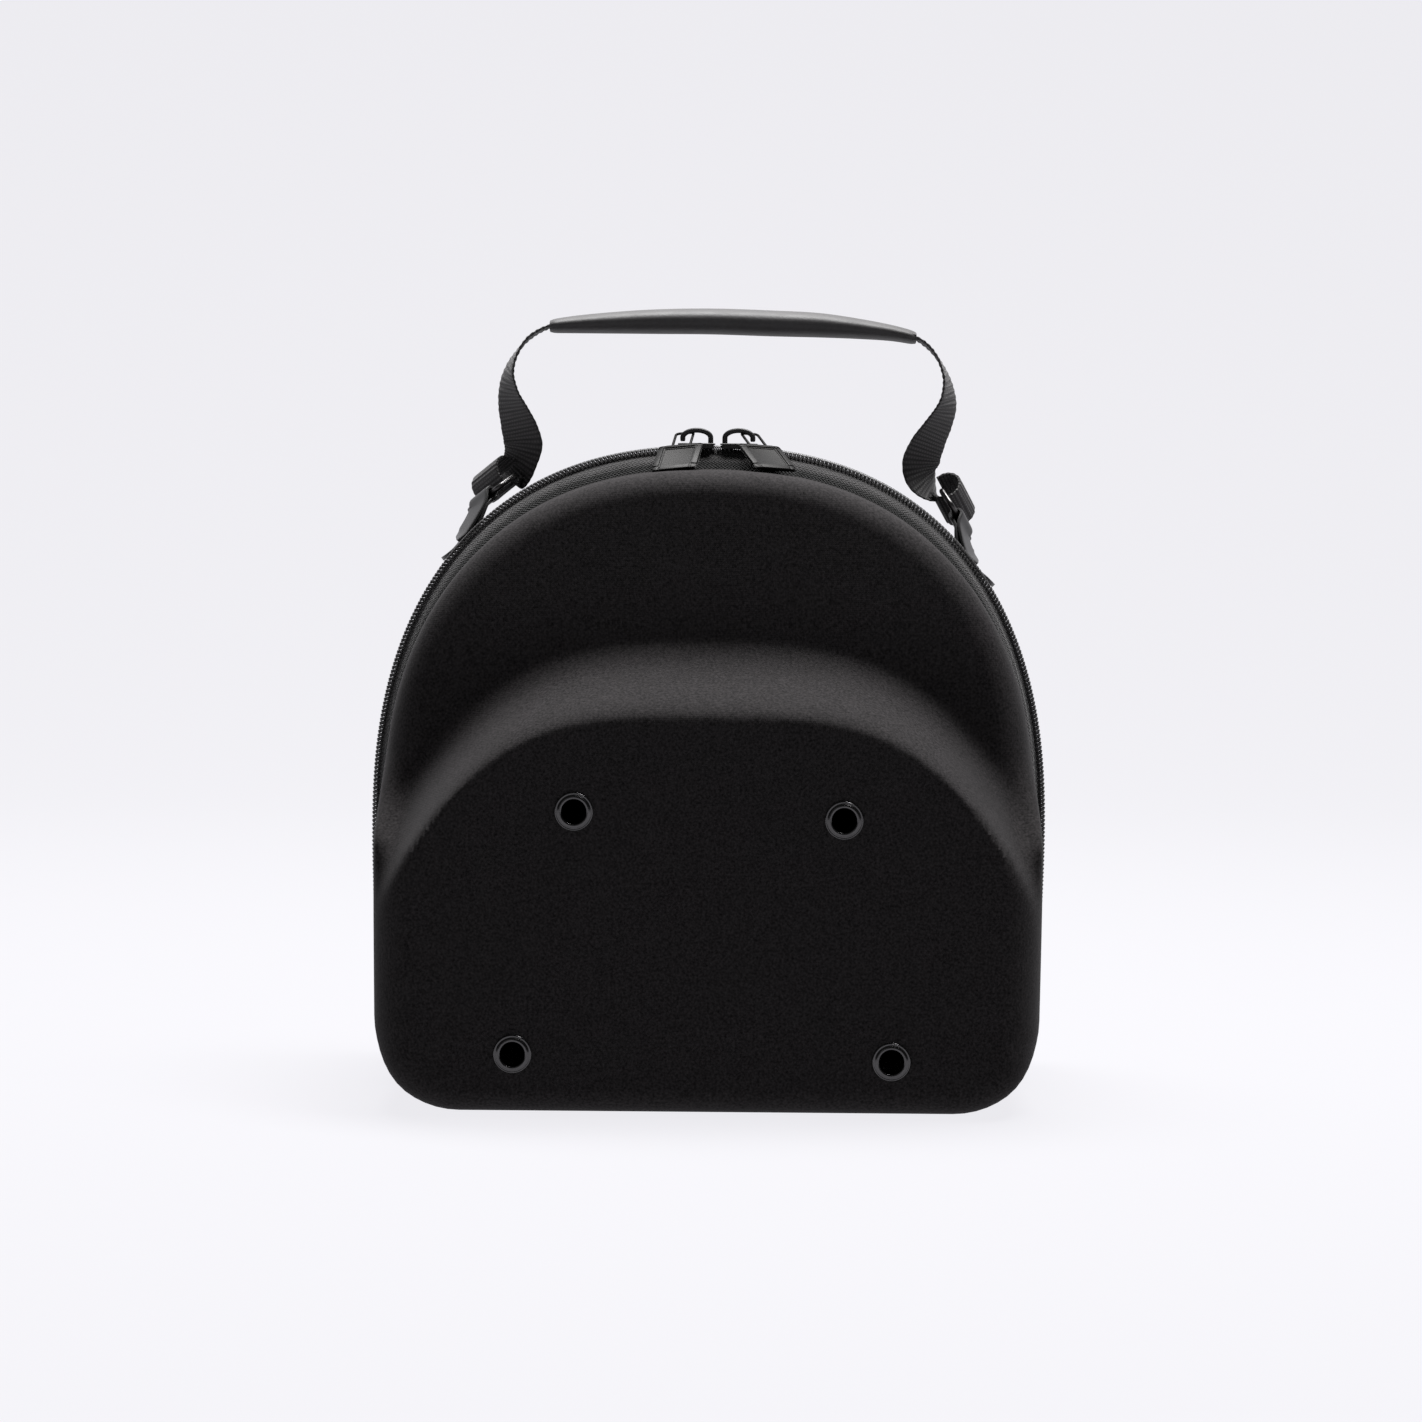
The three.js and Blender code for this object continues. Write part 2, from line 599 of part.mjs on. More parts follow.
// A flat strip swept through stations, each with a place and a width direction.
function strip(stations, wide, thick, steps) {
  const curve = new THREE.CatmullRomCurve3(stations.map((s) => s.at), false, 'centripetal');
  const rings = [];
  for (let i = 0; i <= steps; i += 1) {
    const t = i / steps;
    const along = Math.min(t * (stations.length - 1), stations.length - 1 - 1e-9);
    const k = Math.floor(along);
    const across = stations[k].across.clone().lerp(stations[k + 1].across, along - k);
    const tangent = curve.getTangent(t);
    across.addScaledVector(tangent, -across.dot(tangent)).normalize();
    const normal = tangent.clone().cross(across);
    const at = curve.getPoint(t);
    const corner = (a, b) => at.clone().addScaledVector(across, a).addScaledVector(normal, b);
    rings.push([
      corner(wide / 2, thick / 2), corner(-wide / 2, thick / 2),
      corner(-wide / 2, -thick / 2), corner(wide / 2, -thick / 2),
    ]);
  }
  return rod(rings);
}

// Webbing stations of one side, from the sewn tip round the ring bar and up to the grip.
function strapSide(side) {
  const axes = ringAxes(side);
  const meet = vec(-side.out, 0, 0);
  const back = axes.down.clone().negate();
  const first = Math.atan2(meet.dot(axes.out), meet.dot(back));
  const loop = [];
  for (let i = 0; i <= 10; i += 1) {
    const turn = first + rad(mix(54, 360, i / 10));
    const at = axes.loop.clone().addScaledVector(back, STRAP.loop * Math.cos(turn));
    at.addScaledVector(axes.out, STRAP.loop * Math.sin(turn));
    loop.push({ at, across: axes.bar.clone() });
  }
  const rest = side.stations.map((s) => ({ at: vec(s.x, s.y, s.z), across: turned(s.turn, side) }));
  return [...loop, ...rest];
}

function handleStrap() {
  const through = GRIP.map((row) => ({ at: vec(row.x, GRIP_Y, row.z), across: FORWARD.clone() }));
  const path = [...strapSide(SIDES[0]), ...through, ...strapSide(SIDES[1]).reverse()];
  return strip(path, STRAP.wide, STRAP.thick, (path.length - 1) * 2);
}

function strapRing(side) {
  const axes = ringAxes(side);
  const half = RING.bar / 2;
  const round = RING.corner;
  const corners = [
    { a: half, b: 0, from: 270 }, { a: half, b: RING.tall, from: 0 },
    { a: -half, b: RING.tall, from: 90 }, { a: -half, b: 0, from: 180 },
  ];
  const path = [];
  corners.forEach(({ a, b, from }) => {
    const ca = a - Math.sign(a) * round;
    const cb = b === 0 ? round : RING.tall - round;
    for (let i = 0; i <= 4; i += 1) {
      const turn = rad(from + 90 * i / 4);
      const cos = Math.cos(turn);
      const sin = Math.sin(turn);
      path.push({ a: ca + round * cos, b: cb + round * sin, cos, sin });
    }
  });
  const rings = path.map(({ a, b, cos, sin }) => {
    const at = axes.topBar.clone().addScaledVector(axes.bar, a).addScaledVector(axes.down, b);
    const outward = axes.bar.clone().multiplyScalar(cos).addScaledVector(axes.down, sin);
    return Array.from({ length: 6 }, (_, i) => {
      const turn = rad(60) * i;
      const p = at.clone().addScaledVector(outward, RING.wire * Math.cos(turn));
      return p.addScaledVector(axes.out, RING.wire * Math.sin(turn));
    });
  });
  return hoop(rings);
}

function ringTab(side) {
  const axes = ringAxes(side);
  const stations = [];
  for (let i = 0; i <= 7; i += 1) {
    const turn = rad(mix(TAB.open, 270, i / 7));
    const at = axes.lowBar.clone().addScaledVector(axes.down, TAB.eye * Math.cos(turn));
    at.addScaledVector(axes.out, TAB.eye * Math.sin(turn));
    stations.push({ at, across: axes.bar.clone() });
  }
  const below = axes.lowBar.clone().addScaledVector(axes.down, TAB.run);
  stations.push({ at: below.addScaledVector(axes.out, -TAB.eye), across: axes.bar.clone() });
  side.tab.forEach((row) => {
    const z = archHeight(row.x);
    const lift = (archHeight(Math.abs(row.x) + 0.5) - archHeight(Math.abs(row.x) - 0.5)) * side.out;
    const normal = vec(-lift, 0, 1).normalize();
    const at = vec(row.x, axes.lowBar.y - TAB.drift, z).addScaledVector(normal, row.off);
    stations.push({ at, across: turned(row.turn, side) });
  });
  return strip(stations, TAB.wide, TAB.thick, (stations.length - 1) * 2);
}

function handleGrip() {
  const oval = (row, wide, thick, power) => Array.from({ length: 14 }, (_, i) => {
    const turn = rad(360) * (i + 0.5) / 14;
    const c = Math.cos(turn);
    const s = Math.sin(turn);
    const y = Math.sign(c) * Math.abs(c) ** (2 / power) * wide / 2;
    return vec(row.x, GRIP_Y + y, row.z + Math.sign(s) * Math.abs(s) ** (2 / power) * thick / 2);
  });
  const skin = new Skin();
  const outer = GRIP.map((row) => skin.ring(oval(row, row.wide, row.thick, 2.5)));
  const inner = GRIP.map((row) => skin.ring(oval(row, GRIP_SLOT.wide, GRIP_SLOT.thick, 9)));
  const last = GRIP.length - 1;
  outer.slice(1).forEach((ring, i) => skin.bridge(outer[i], ring));
  inner.slice(1).forEach((ring, i) => skin.bridge(ring, inner[i]));
  skin.bridge(inner[0], outer[0]);
  skin.bridge(outer[last], inner[last]);
  return skin.geometry();
}

const carrier = new THREE.Group();
const placed = new THREE.Group();
placed.position.y = CENTRE_Y;
carrier.add(placed);

function add(name, geometry, look) {
  geometry.computeVertexNormals();
  const mesh = new THREE.Mesh(geometry, new THREE.MeshStandardMaterial(COLOURS[look]));
  mesh.name = name;
  placed.add(mesh);
  return mesh;
}

add('front_shell', frontShell(), 'fabric');
add('back_shell', backShell(), 'fabric');
add('zip_tape_front', zipTape(-1, FRONT_RIM), 'tape');
add('zip_tape_back', zipTape(1, BACK_RIM), 'tape');
add('zip_coil_front', zipCoil(-1), 'tape');
add('zip_coil_back', zipCoil(1), 'tape');
add('hinge_tape', hingeTape(), 'tape');
SLIDERS.forEach((spot) => {
  add(`slider_${spot.name}`, slider(spot), 'gunmetal');
  const plate = add(`pull_${spot.name}`, pull(), 'pewter');
  const basis = pullBasis(spot);
  plate.position.copy(pullHinge(spot));
  const axes = new THREE.Matrix4().makeBasis(basis.along, basis.hang, basis.face);
  plate.quaternion.setFromRotationMatrix(axes);
});
EYELETS.forEach((spot) => {
  const ring = add(spot.name, eyelet(), 'gunmetal');
  ring.position.set(spot.x, -RIM_Y - FACE.bulge - GAP, spot.z);
});
SIDES.forEach((side) => {
  add(`strap_ring_${side.name}`, strapRing(side), 'gunmetal');
  add(`ring_tab_${side.name}`, ringTab(side), 'gloss');
});
add('handle_strap', handleStrap(), 'webbing');
add('handle_grip', handleGrip(), 'grip');

export default carrier;
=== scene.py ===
"""Cap carrier: a moulded two-shell zip case for caps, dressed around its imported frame."""

import logging
import math
from collections.abc import Callable, Iterator
from contextlib import contextmanager
from dataclasses import dataclass, field
from enum import Enum

import bpy
import numpy as np
from mathutils import Matrix, Vector


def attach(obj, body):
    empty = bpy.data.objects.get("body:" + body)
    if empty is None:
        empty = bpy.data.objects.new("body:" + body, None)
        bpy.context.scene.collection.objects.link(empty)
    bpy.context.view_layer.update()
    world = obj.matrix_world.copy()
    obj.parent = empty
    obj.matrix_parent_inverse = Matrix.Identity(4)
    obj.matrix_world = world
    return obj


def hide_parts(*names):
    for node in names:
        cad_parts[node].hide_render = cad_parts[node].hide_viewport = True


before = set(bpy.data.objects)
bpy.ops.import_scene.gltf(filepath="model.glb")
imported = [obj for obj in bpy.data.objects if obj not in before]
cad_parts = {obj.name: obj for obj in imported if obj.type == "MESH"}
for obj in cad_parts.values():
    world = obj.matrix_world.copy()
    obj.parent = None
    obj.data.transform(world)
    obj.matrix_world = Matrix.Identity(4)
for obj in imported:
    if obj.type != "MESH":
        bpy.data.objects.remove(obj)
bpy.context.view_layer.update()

LOG = logging.getLogger("cap_carrier")

MM = 0.001
PARTING = 21.2
CASE_BODY = "case"
QUARTER = math.pi / 2

Piece = bpy.types.Object
Finish = bpy.types.Material
Triple = tuple[float, float, float]


class Worded(Enum):
    """A choice whose name is part of piece and node names."""

    @property
    def word(self) -> str:
        """The name as it stands in piece and node names."""
        return self.name.lower()


class Side(Worded):
    """The two sides of the case, seen from the front."""

    LEFT = -1
    RIGHT = 1


class Half(Worded):
    """The two halves of the zip, by the depth they lie towards."""

    FRONT = -1
    BACK = 1


def in_frame(points: np.ndarray) -> np.ndarray:
    """Moves design points into the shared frame.

    Args:
        points: places in mm, with depth measured from the zip's parting plane.

    Returns:
        The places in metres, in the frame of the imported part.
    """
    moved = np.array(points, float) * MM
    moved[..., 1] += PARTING * MM
    return moved


def at_depth(line: np.ndarray, depth: np.ndarray) -> np.ndarray:
    """Places of x and z with a depth, one for all of them or one for each."""
    return np.stack([line[:, 0], np.broadcast_to(depth, len(line)), line[:, 1]], -1)


def mix(a: np.ndarray, b: np.ndarray, t: np.ndarray) -> np.ndarray:
    """Linear blend from a to b."""
    return a + (b - a) * t


def smooth(low: float, high: float, value: np.ndarray) -> np.ndarray:
    """Smooth step from 0 at low to 1 at high."""
    t = np.clip((np.asarray(value, float) - low) / (high - low), 0, 1)
    return t * t * (3 - 2 * t)


def unit(rows: np.ndarray) -> np.ndarray:
    """Rows scaled to length 1."""
    return rows / np.maximum(np.linalg.norm(rows, axis=-1, keepdims=True), 1e-12)


def run_length(points: np.ndarray) -> np.ndarray:
    """Length along a line of points, from 0 at its first point."""
    steps = np.linalg.norm(np.diff(points, axis=0), axis=-1)
    return np.concatenate([[0.0], np.cumsum(steps)])


def oval(count: int, wide: float, thick: float, power: float) -> np.ndarray:
    """A rounded flat section.

    Args:
        count: number of points round it.
        wide: full width.
        thick: full thickness.
        power: 2 for an ellipse, more for a flatter, squarer form.

    Returns:
        Points as rows of width and thickness.
    """
    turn = 2 * math.pi * (np.arange(count) + 0.5) / count
    c, s = np.cos(turn), np.sin(turn)
    across = np.sign(c) * np.abs(c) ** (2 / power) * wide / 2
    up = np.sign(s) * np.abs(s) ** (2 / power) * thick / 2
    return np.stack([across, up], -1)


def flowing(points: np.ndarray, counts: list[int]) -> tuple[np.ndarray, np.ndarray]:
    """A smooth centripetal curve through points.

    Args:
        points: the places it passes.
        counts: how many steps each span between two places gets.

    Returns:
        The curve's points, and for each the span number plus the share of that span.
    """
    padded = np.vstack([2 * points[0] - points[1], points, 2 * points[-1] - points[-2]])
    made, where = [], []
    for span, count in enumerate(counts):
        p0, p1, p2, p3 = padded[span : span + 4]
        d0, d1, d2 = (max(np.linalg.norm(b - a), 1e-6) ** 0.5 for a, b in ((p0, p1), (p1, p2), (p2, p3)))
        t1 = ((p1 - p0) / d0 - (p2 - p0) / (d0 + d1) + (p2 - p1) / d1) * d1
        t2 = ((p2 - p1) / d1 - (p3 - p1) / (d1 + d2) + (p3 - p2) / d2) * d1
        last = span == len(counts) - 1
        share = np.linspace(0, 1, count + 1)[: None if last else -1, None]
        bent = (-3 * p1 + 3 * p2 - 2 * t1 - t2) * share**2 + (2 * p1 - 2 * p2 + t1 + t2) * share**3
        made.append(p1 + t1 * share + bent)
        where.append(span + share[:, 0])
    return np.vstack(made), np.concatenate(where)


class Bench:
    """Modelling by operators, one piece at a time."""

    @staticmethod
    def clear() -> None:
        """Leaves edit mode and deselects everything."""
        if bpy.context.object and bpy.context.object.mode != "OBJECT":
            bpy.ops.object.mode_set(mode="OBJECT")
        bpy.ops.object.select_all(action="DESELECT")

    @staticmethod
    def pick(piece: Piece) -> None:
        """Makes a piece the only selected and the active one.

        Args:
            piece: the piece to make active.
        """
        Bench.clear()
        piece.select_set(True)
        bpy.context.view_layer.objects.active = piece

    @staticmethod
    @contextmanager
    def editing(action: str = "") -> Iterator[None]:
        """Edit mode for the active piece, with all of it selected or deselected first if asked.

        Args:
            action: SELECT or DESELECT, or nothing to leave the selection.
        """
        bpy.ops.object.mode_set(mode="EDIT")
        if action:
            bpy.ops.mesh.select_all(action=action)
        yield
        bpy.ops.object.mode_set(mode="OBJECT")

    @staticmethod
    def mark(piece: Piece, kind: str, test: Callable[[object], bool]) -> None:
        """Selects only those edges or polygons of the active piece that pass a test.

        Args:
            piece: the active piece.
            kind: edges or polygons.
            test: says which of them to select.
        """
        with Bench.editing("DESELECT"):
            pass
        for part in getattr(piece.data, kind):
            part.select = test(part)

    @staticmethod
    def named(name: str) -> Piece:
        """Names the primitive that was just added.

        Args:
            name: its new name.

        Returns:
            The piece.
        """
        piece = bpy.context.active_object
        piece.name = name
        piece.data.name = name
        return piece

    @staticmethod
    def points(piece: Piece) -> np.ndarray:
        """The places of a piece's points.

        Args:
            piece: the piece to read.

        Returns:
            Rows of x, y and z, in metres.
        """
        flat = np.zeros(len(piece.data.vertices) * 3, np.float32)
        piece.data.vertices.foreach_get("co", flat)
        return flat.reshape(-1, 3).astype(float)

    @staticmethod
    def shape(piece: Piece, places: np.ndarray, lay: np.ndarray | None = None) -> Piece:
        """Moves every point of a piece, and turns it right side out.

        Args:
            piece: the primitive to shape.
            places: a new place for each of its points, in metres.
            lay: for each point the place along and across the cloth, in metres.

        Returns:
            The piece.
        """
        piece.data.vertices.foreach_set("co", places.astype(np.float32).ravel())
        if lay is not None:
            layer = piece.data.attributes.new("lay", "FLOAT_VECTOR", "POINT")
            flat = np.zeros((len(lay), 3), np.float32)
            flat[:, :2] = lay
            layer.data.foreach_set("vector", flat.ravel())
        piece.data.update()
        piece.data.calc_loop_triangles()
        corners = np.zeros(len(piece.data.loop_triangles) * 3, np.int32)
        piece.data.loop_triangles.foreach_get("vertices", corners)
        a, b, c = np.moveaxis(places[corners.reshape(-1, 3)] - places.mean(0), 1, 0)
        if (a * np.cross(b, c)).sum() < 0:
            Bench.pick(piece)
            with Bench.editing("SELECT"):
                bpy.ops.mesh.flip_normals()
        return piece

    @staticmethod
    def rod(
        name: str,
        rings: np.ndarray,
        lay: np.ndarray | None = None,
        tips: np.ndarray | None = None,
    ) -> Piece:
        """A closed form lofted through rings, from a ball whose poles close its two ends.

        Args:
            name: the piece's name.
            rings: places as ring, point of the ring, axis.
            lay: places along and across the cloth for the same points.
            tips: the two places where the ends close; the rings' middles if not given.

        Returns:
            The piece.
        """
        count, around = rings.shape[:2]
        Bench.clear()
        bpy.ops.mesh.primitive_uv_sphere_add(segments=around, ring_count=count + 1, radius=1)
        piece = Bench.named(name)
        ball = Bench.points(piece)
        ring = np.rint(np.arccos(np.clip(ball[:, 2], -1, 1)) / math.pi * (count + 1)).astype(int)
        spoke = np.rint(np.arctan2(ball[:, 1], ball[:, 0]) / (2 * math.pi) * around).astype(int) % around
        ends = rings[[0, -1]].mean(1) if tips is None else tips
        at = np.clip(ring - 1, 0, count - 1)
        places = rings[at, spoke]
        places[ring == 0] = ends[0]
        places[ring == count + 1] = ends[1]
        return Bench.shape(piece, places, None if lay is None else lay[at, spoke])

    @staticmethod
    def hoop(name: str, rings: np.ndarray, lay: np.ndarray | None = None) -> Piece:
        """A closed loop lofted through rings that come back to the first, from a torus.

        Args:
            name: the piece's name.
            rings: places as ring, point of the ring, axis.
            lay: places along and across the cloth for the same points.

        Returns:
            The piece.
        """
        count, around = rings.shape[:2]
        Bench.clear()
        bpy.ops.mesh.primitive_torus_add(
            major_segments=count, minor_segments=around, major_radius=1, minor_radius=0.25
        )
        piece = Bench.named(name)
        torus = Bench.points(piece)
        turn = np.arctan2(torus[:, 1], torus[:, 0])
        ring = np.rint(turn / (2 * math.pi) * count).astype(int) % count
        reach = np.hypot(torus[:, 0], torus[:, 1]) - 1
        spoke = np.rint(np.arctan2(torus[:, 2], reach) / (2 * math.pi) * around).astype(int) % around
        return Bench.shape(piece, rings[ring, spoke], None if lay is None else lay[ring, spoke])

    @staticmethod
    def block(
        name: str, size: Triple, at: Triple
    ) -> Piece:
        """A block of a size in mm, centred on a design place in mm.

        Args:
            name: the piece's name.
            size: its lengths along x, y and z.
            at: its middle.

        Returns:
            The piece.
        """
        Bench.clear()
        bpy.ops.mesh.primitive_cube_add(size=1, location=in_frame(np.array(at)))
        piece = Bench.named(name)
        piece.scale = [v * MM for v in size]
        bpy.ops.object.transform_apply(location=True, rotation=True, scale=True)
        return piece

    @staticmethod
    def finish(piece: Piece, kind: str, **settings: object) -> None:
        """Adds a modifier with its settings and applies it.

        Args:
            piece: the piece to change.
            kind: the modifier's type.
            settings: its settings by name.
        """
        Bench.pick(piece)
        bpy.ops.object.modifier_add(type=kind)
        made = piece.modifiers[-1]
        for key, value in settings.items():
            setattr(made, key, value)
        bpy.ops.object.modifier_apply(modifier=made.name)

    @staticmethod
    def join(pieces: list[Piece], name: str) -> Piece:
        """Joins pieces into one and names it.

        Args:
            pieces: the pieces, used up by it.
            name: the new piece's name.

        Returns:
            The new piece.
        """
        Bench.clear()
        for piece in pieces:
            piece.select_set(True)
        bpy.context.view_layer.objects.active = pieces[0]
        bpy.ops.object.join()
        return Bench.named(name)

    @staticmethod
    def soft_shade(piece: Piece, degrees: float) -> Piece:
        """Shades a piece smooth, with its sharp edges kept, and gives it back.

        Args:
            piece: the piece to shade.
            degrees: edges that turn by more stay sharp.

        Returns:
            The piece.
        """
        Bench.pick(piece)
        bpy.ops.object.shade_smooth_by_angle(angle=math.radians(degrees))
        return piece

    @staticmethod
    def repeat(name: str, one: Piece, spots: np.ndarray, axes: np.ndarray) -> Piece:
        """One piece made of many copies of a small one, which is used up.

        Args:
            name: the new piece's name.
            one: the small piece, modelled about the origin.
            spots: a place for each copy.
            axes: for each copy the three directions that its own axes take.

        Returns:
            The new piece.
        """
        shape = Bench.points(one)
        faces = [list(p.vertices) for p in one.data.polygons]
        places = np.einsum("vk,nka->nva", shape, axes) + spots[:, None, :]
        many = [[i + n * len(shape) for i in f] for n in range(len(spots)) for f in faces]
        mesh = bpy.data.meshes.new(name)
        mesh.from_pydata(places.reshape(-1, 3).tolist(), [], many)
        tone = mesh.attributes.new("tone", "FLOAT", "POINT")
        drawn = np.random.default_rng(len(spots)).random(len(spots)).astype(np.float32)
        tone.data.foreach_set("value", np.repeat(drawn, len(shape)))
        mesh.update()
        bpy.data.objects.remove(one)
        piece = bpy.data.objects.new(name, mesh)
        bpy.context.scene.collection.objects.link(piece)
        return piece


class Wire:
    """A value on a socket that takes part in sums and adds their Math nodes."""

    def __init__(self, kit: "Dresser", socket: bpy.types.NodeSocket) -> None:
        """Keeps the material kit and the socket."""
        self.kit = kit
        self.socket = socket

    def math(self, operation: str, *others: object, swap: bool = False) -> "Wire":
        """One Math node of this value and others.

        Args:
            operation: the node's operation.
            others: the other values.
            swap: takes them in reverse.

        Returns:
            The node's value.
        """
        values = [self, *others]
        if swap:
            values.reverse()
        made = self.kit.node("ShaderNodeMath", {"operation": operation}, dict(enumerate(values)))
        return Wire(self.kit, made.outputs[0])

    def __add__(self, other: object) -> "Wire":
        """Sum."""
        return self.math("ADD", other)

    __radd__ = __add__

    def __sub__(self, other: object) -> "Wire":
        """Difference."""
        return self.math("SUBTRACT", other)

    def __rsub__(self, other: object) -> "Wire":
        """Difference from a number."""
        return self.math("SUBTRACT", other, swap=True)

    def __mul__(self, other: object) -> "Wire":
        """Product."""
        return self.math("MULTIPLY", other)

    __rmul__ = __mul__

    def __truediv__(self, other: object) -> "Wire":
        """Quotient."""
        return self.math("DIVIDE", other)

    def wave(self) -> "Wire":
        """A sine with one turn for each whole number, from 0 to 1."""
        return (self * (2 * math.pi)).math("SINE") * 0.5 + 0.5

    def zigzag(self) -> "Wire":
        """Up and down between 0 and 1, once for each whole number."""
        return self.math("PINGPONG", 0.5) * 2

    def step(self, low: float, high: float) -> "Wire":
        """A smooth step from 0 at low to 1 at high.

        Args:
            low: where it is 0.
            high: where it is 1.

        Returns:
            The stepped value.
        """
        made = self.kit.node(
            "ShaderNodeMapRange",
            {"interpolation_type": "SMOOTHSTEP"},
            {"Value": self, "From Min": low, "From Max": high},
        )
        return Wire(self.kit, made.outputs["Result"])


class Dresser:
    """One material and the nodes that make it."""

    def __init__(self, name: str) -> None:
        """Starts an empty material with its shader.

        Args:
            name: the material's name.
        """
        self.material = bpy.data.materials.new(name)
        self.material.use_nodes = True
        self.tree = self.material.node_tree
        self.tree.nodes.clear()
        self.shader = self.node("ShaderNodeBsdfPrincipled")
        output = self.node("ShaderNodeOutputMaterial")
        self.tree.links.new(self.shader.outputs[0], output.inputs["Surface"])

    def node(self, kind: str, settings: dict | None = None, sockets: dict | None = None) -> bpy.types.Node:
        """Adds a node.

        Args:
            kind: its type name.
            settings: its own settings, set first.
            sockets: values or wires for its inputs, by name or number.

        Returns:
            The node.
        """
        made = self.tree.nodes.new(kind)
        for key, value in (settings or {}).items():
            setattr(made, key, value)
        for key, value in (sockets or {}).items():
            self.feed(made.inputs[key], value)
        return made

    def feed(self, socket: bpy.types.NodeSocket, value: object) -> None:
        """Sets a socket, or links a wire to it.

        Args:
            socket: the input to set.
            value: a plain value or a wire.
        """
        if isinstance(value, Wire):
            self.tree.links.new(value.socket, socket)
        else:
            socket.default_value = value

    def place(self) -> Wire:
        """The place on the object, in metres."""
        return Wire(self, self.node("ShaderNodeTexCoord").outputs["Object"])

    def lay(self) -> tuple[Wire, Wire]:
        """The place along and across the cloth, in mm.

        Returns:
            Two wires, along and across.
        """
        read = self.node("ShaderNodeAttribute", {"attribute_name": "lay"})
        split = self.node("ShaderNodeSeparateXYZ", None, {0: Wire(self, read.outputs["Vector"])})
        return Wire(self, split.outputs[0]) / MM, Wire(self, split.outputs[1]) / MM

    def tone(self) -> Wire:
        """The lightness drawn for each copy of a repeated shape, from 0 to 1."""
        read = self.node("ShaderNodeAttribute", {"attribute_name": "tone"})
        return Wire(self, read.outputs["Fac"])

    def noise(
        self, size_mm: float, detail: float = 2.0, stretch: Triple = (1, 1, 1)
    ) -> Wire:
        """Cloudy noise on the object's place.

        Args:
            size_mm: the size of its grains.
            detail: how many finer layers it has.
            stretch: how much finer it is along each axis.

        Returns:
            Its value, from 0 to 1.
        """
        turned = self.node("ShaderNodeMapping", None, {"Vector": self.place(), "Scale": stretch})
        made = self.node(
            "ShaderNodeTexNoise",
            None,
            {"Vector": Wire(self, turned.outputs[0]), "Scale": 1 / (size_mm * MM), "Detail": detail},
        )
        return Wire(self, made.outputs["Fac"])

    def cells(self, size_mm: float) -> Wire:
        """Distance to the nearest of scattered points, for leathery grain."""
        made = self.node(
            "ShaderNodeTexVoronoi", None, {"Vector": self.place(), "Scale": 1 / (size_mm * MM)}
        )
        return Wire(self, made.outputs["Distance"])

    def shaded(self, colour: Triple, tone: Wire) -> Wire:
        """A colour made lighter or darker over the surface."""
        made = self.node("ShaderNodeVectorMath", {"operation": "SCALE"}, {0: colour, "Scale": tone})
        return Wire(self, made.outputs[0])

    def bump(self, height: Wire, depth_mm: float, strength: float = 1.0) -> Wire:
        """A normal bent by a height from 0 to 1 that stands for a depth in mm."""
        made = self.node(
            "ShaderNodeBump", None, {"Height": height, "Distance": depth_mm * MM, "Strength": strength}
        )
        return Wire(self, made.outputs[0])

    def done(self, **sockets: object) -> Finish:
        """Sets the shader's inputs, with underscores for the spaces in their names.

        Args:
            sockets: values or wires by input name.

        Returns:
            The material.
        """
        for key, value in sockets.items():
            name = key.replace("_", " ")
            if isinstance(value, tuple) and len(value) == 3:
                value = (*value, 1.0)
            self.feed(self.shader.inputs[name], value)
        return self.material


@dataclass(frozen=True)
class ShellCloth:
    """Brushed knit bonded to foam, on the two shells."""

    colour: Triple = (0.0142, 0.013, 0.0134)
    grain_mm: float = 1.0

    def dress(self) -> Finish:
        """Makes the material.

        Returns:
            The material.
        """
        kit = Dresser("shell_cloth")
        grain = kit.noise(self.grain_mm, 3.0)
        cloud = kit.noise(9.0, 3.0)
        split = kit.node("ShaderNodeSeparateXYZ", None, {0: kit.place()})
        x, y, z = (Wire(kit, split.outputs[k]) / MM for k in range(3))
        rows = ((x + y) / 0.9).wave() * (z / 0.8).wave()
        tone = -0.6 + grain * 2.9 + cloud * 0.25
        return kit.done(
            Base_Color=kit.shaded(self.colour, tone),
            Roughness=0.82 + grain * 0.16,
            Normal=kit.bump(grain * 0.7 + rows * 0.3, 0.16, 0.55),
            Specular_IOR_Level=0.05,
            Sheen_Weight=0.03,
            Sheen_Roughness=0.42,
            Sheen_Tint=(0.9, 0.88, 0.9),
        )


@dataclass(frozen=True)
class TapeCloth:
    """Herringbone tape beside the zip teeth, with painted shade along the edge that tucks under the shell's
    rim.
    """

    colour: Triple = (0.025, 0.0236, 0.024)
    twill_mm: float = 1.7
    chevron_mm: float = 2.4

    def dress(self) -> Finish:
        """Makes the material.

        Returns:
            The material.
        """
        kit = Dresser("tape_cloth")
        along, across = kit.lay()
        bend = (across / self.chevron_mm).zigzag() * 1.1
        twill = (along / self.twill_mm + bend).wave()
        fuzz = kit.noise(0.4, 2.0)
        # painted shade: the tape's colour darkens towards its edge under the shell's rim, standing in for the
        # shade in that crease
        crease_shade = 1 - across.step(7.3, 8.8) * 0.95
        return kit.done(
            Base_Color=kit.shaded(self.colour, (0.05 + twill * 1.3 + fuzz * 0.4) * crease_shade),
            Roughness=0.74 + fuzz * 0.2,
            Normal=kit.bump(twill * 0.8 + fuzz * 0.2, 0.3, 0.9),
            Specular_IOR_Level=0.25,
            Sheen_Weight=0.12,
            Sheen_Roughness=0.4,
        )


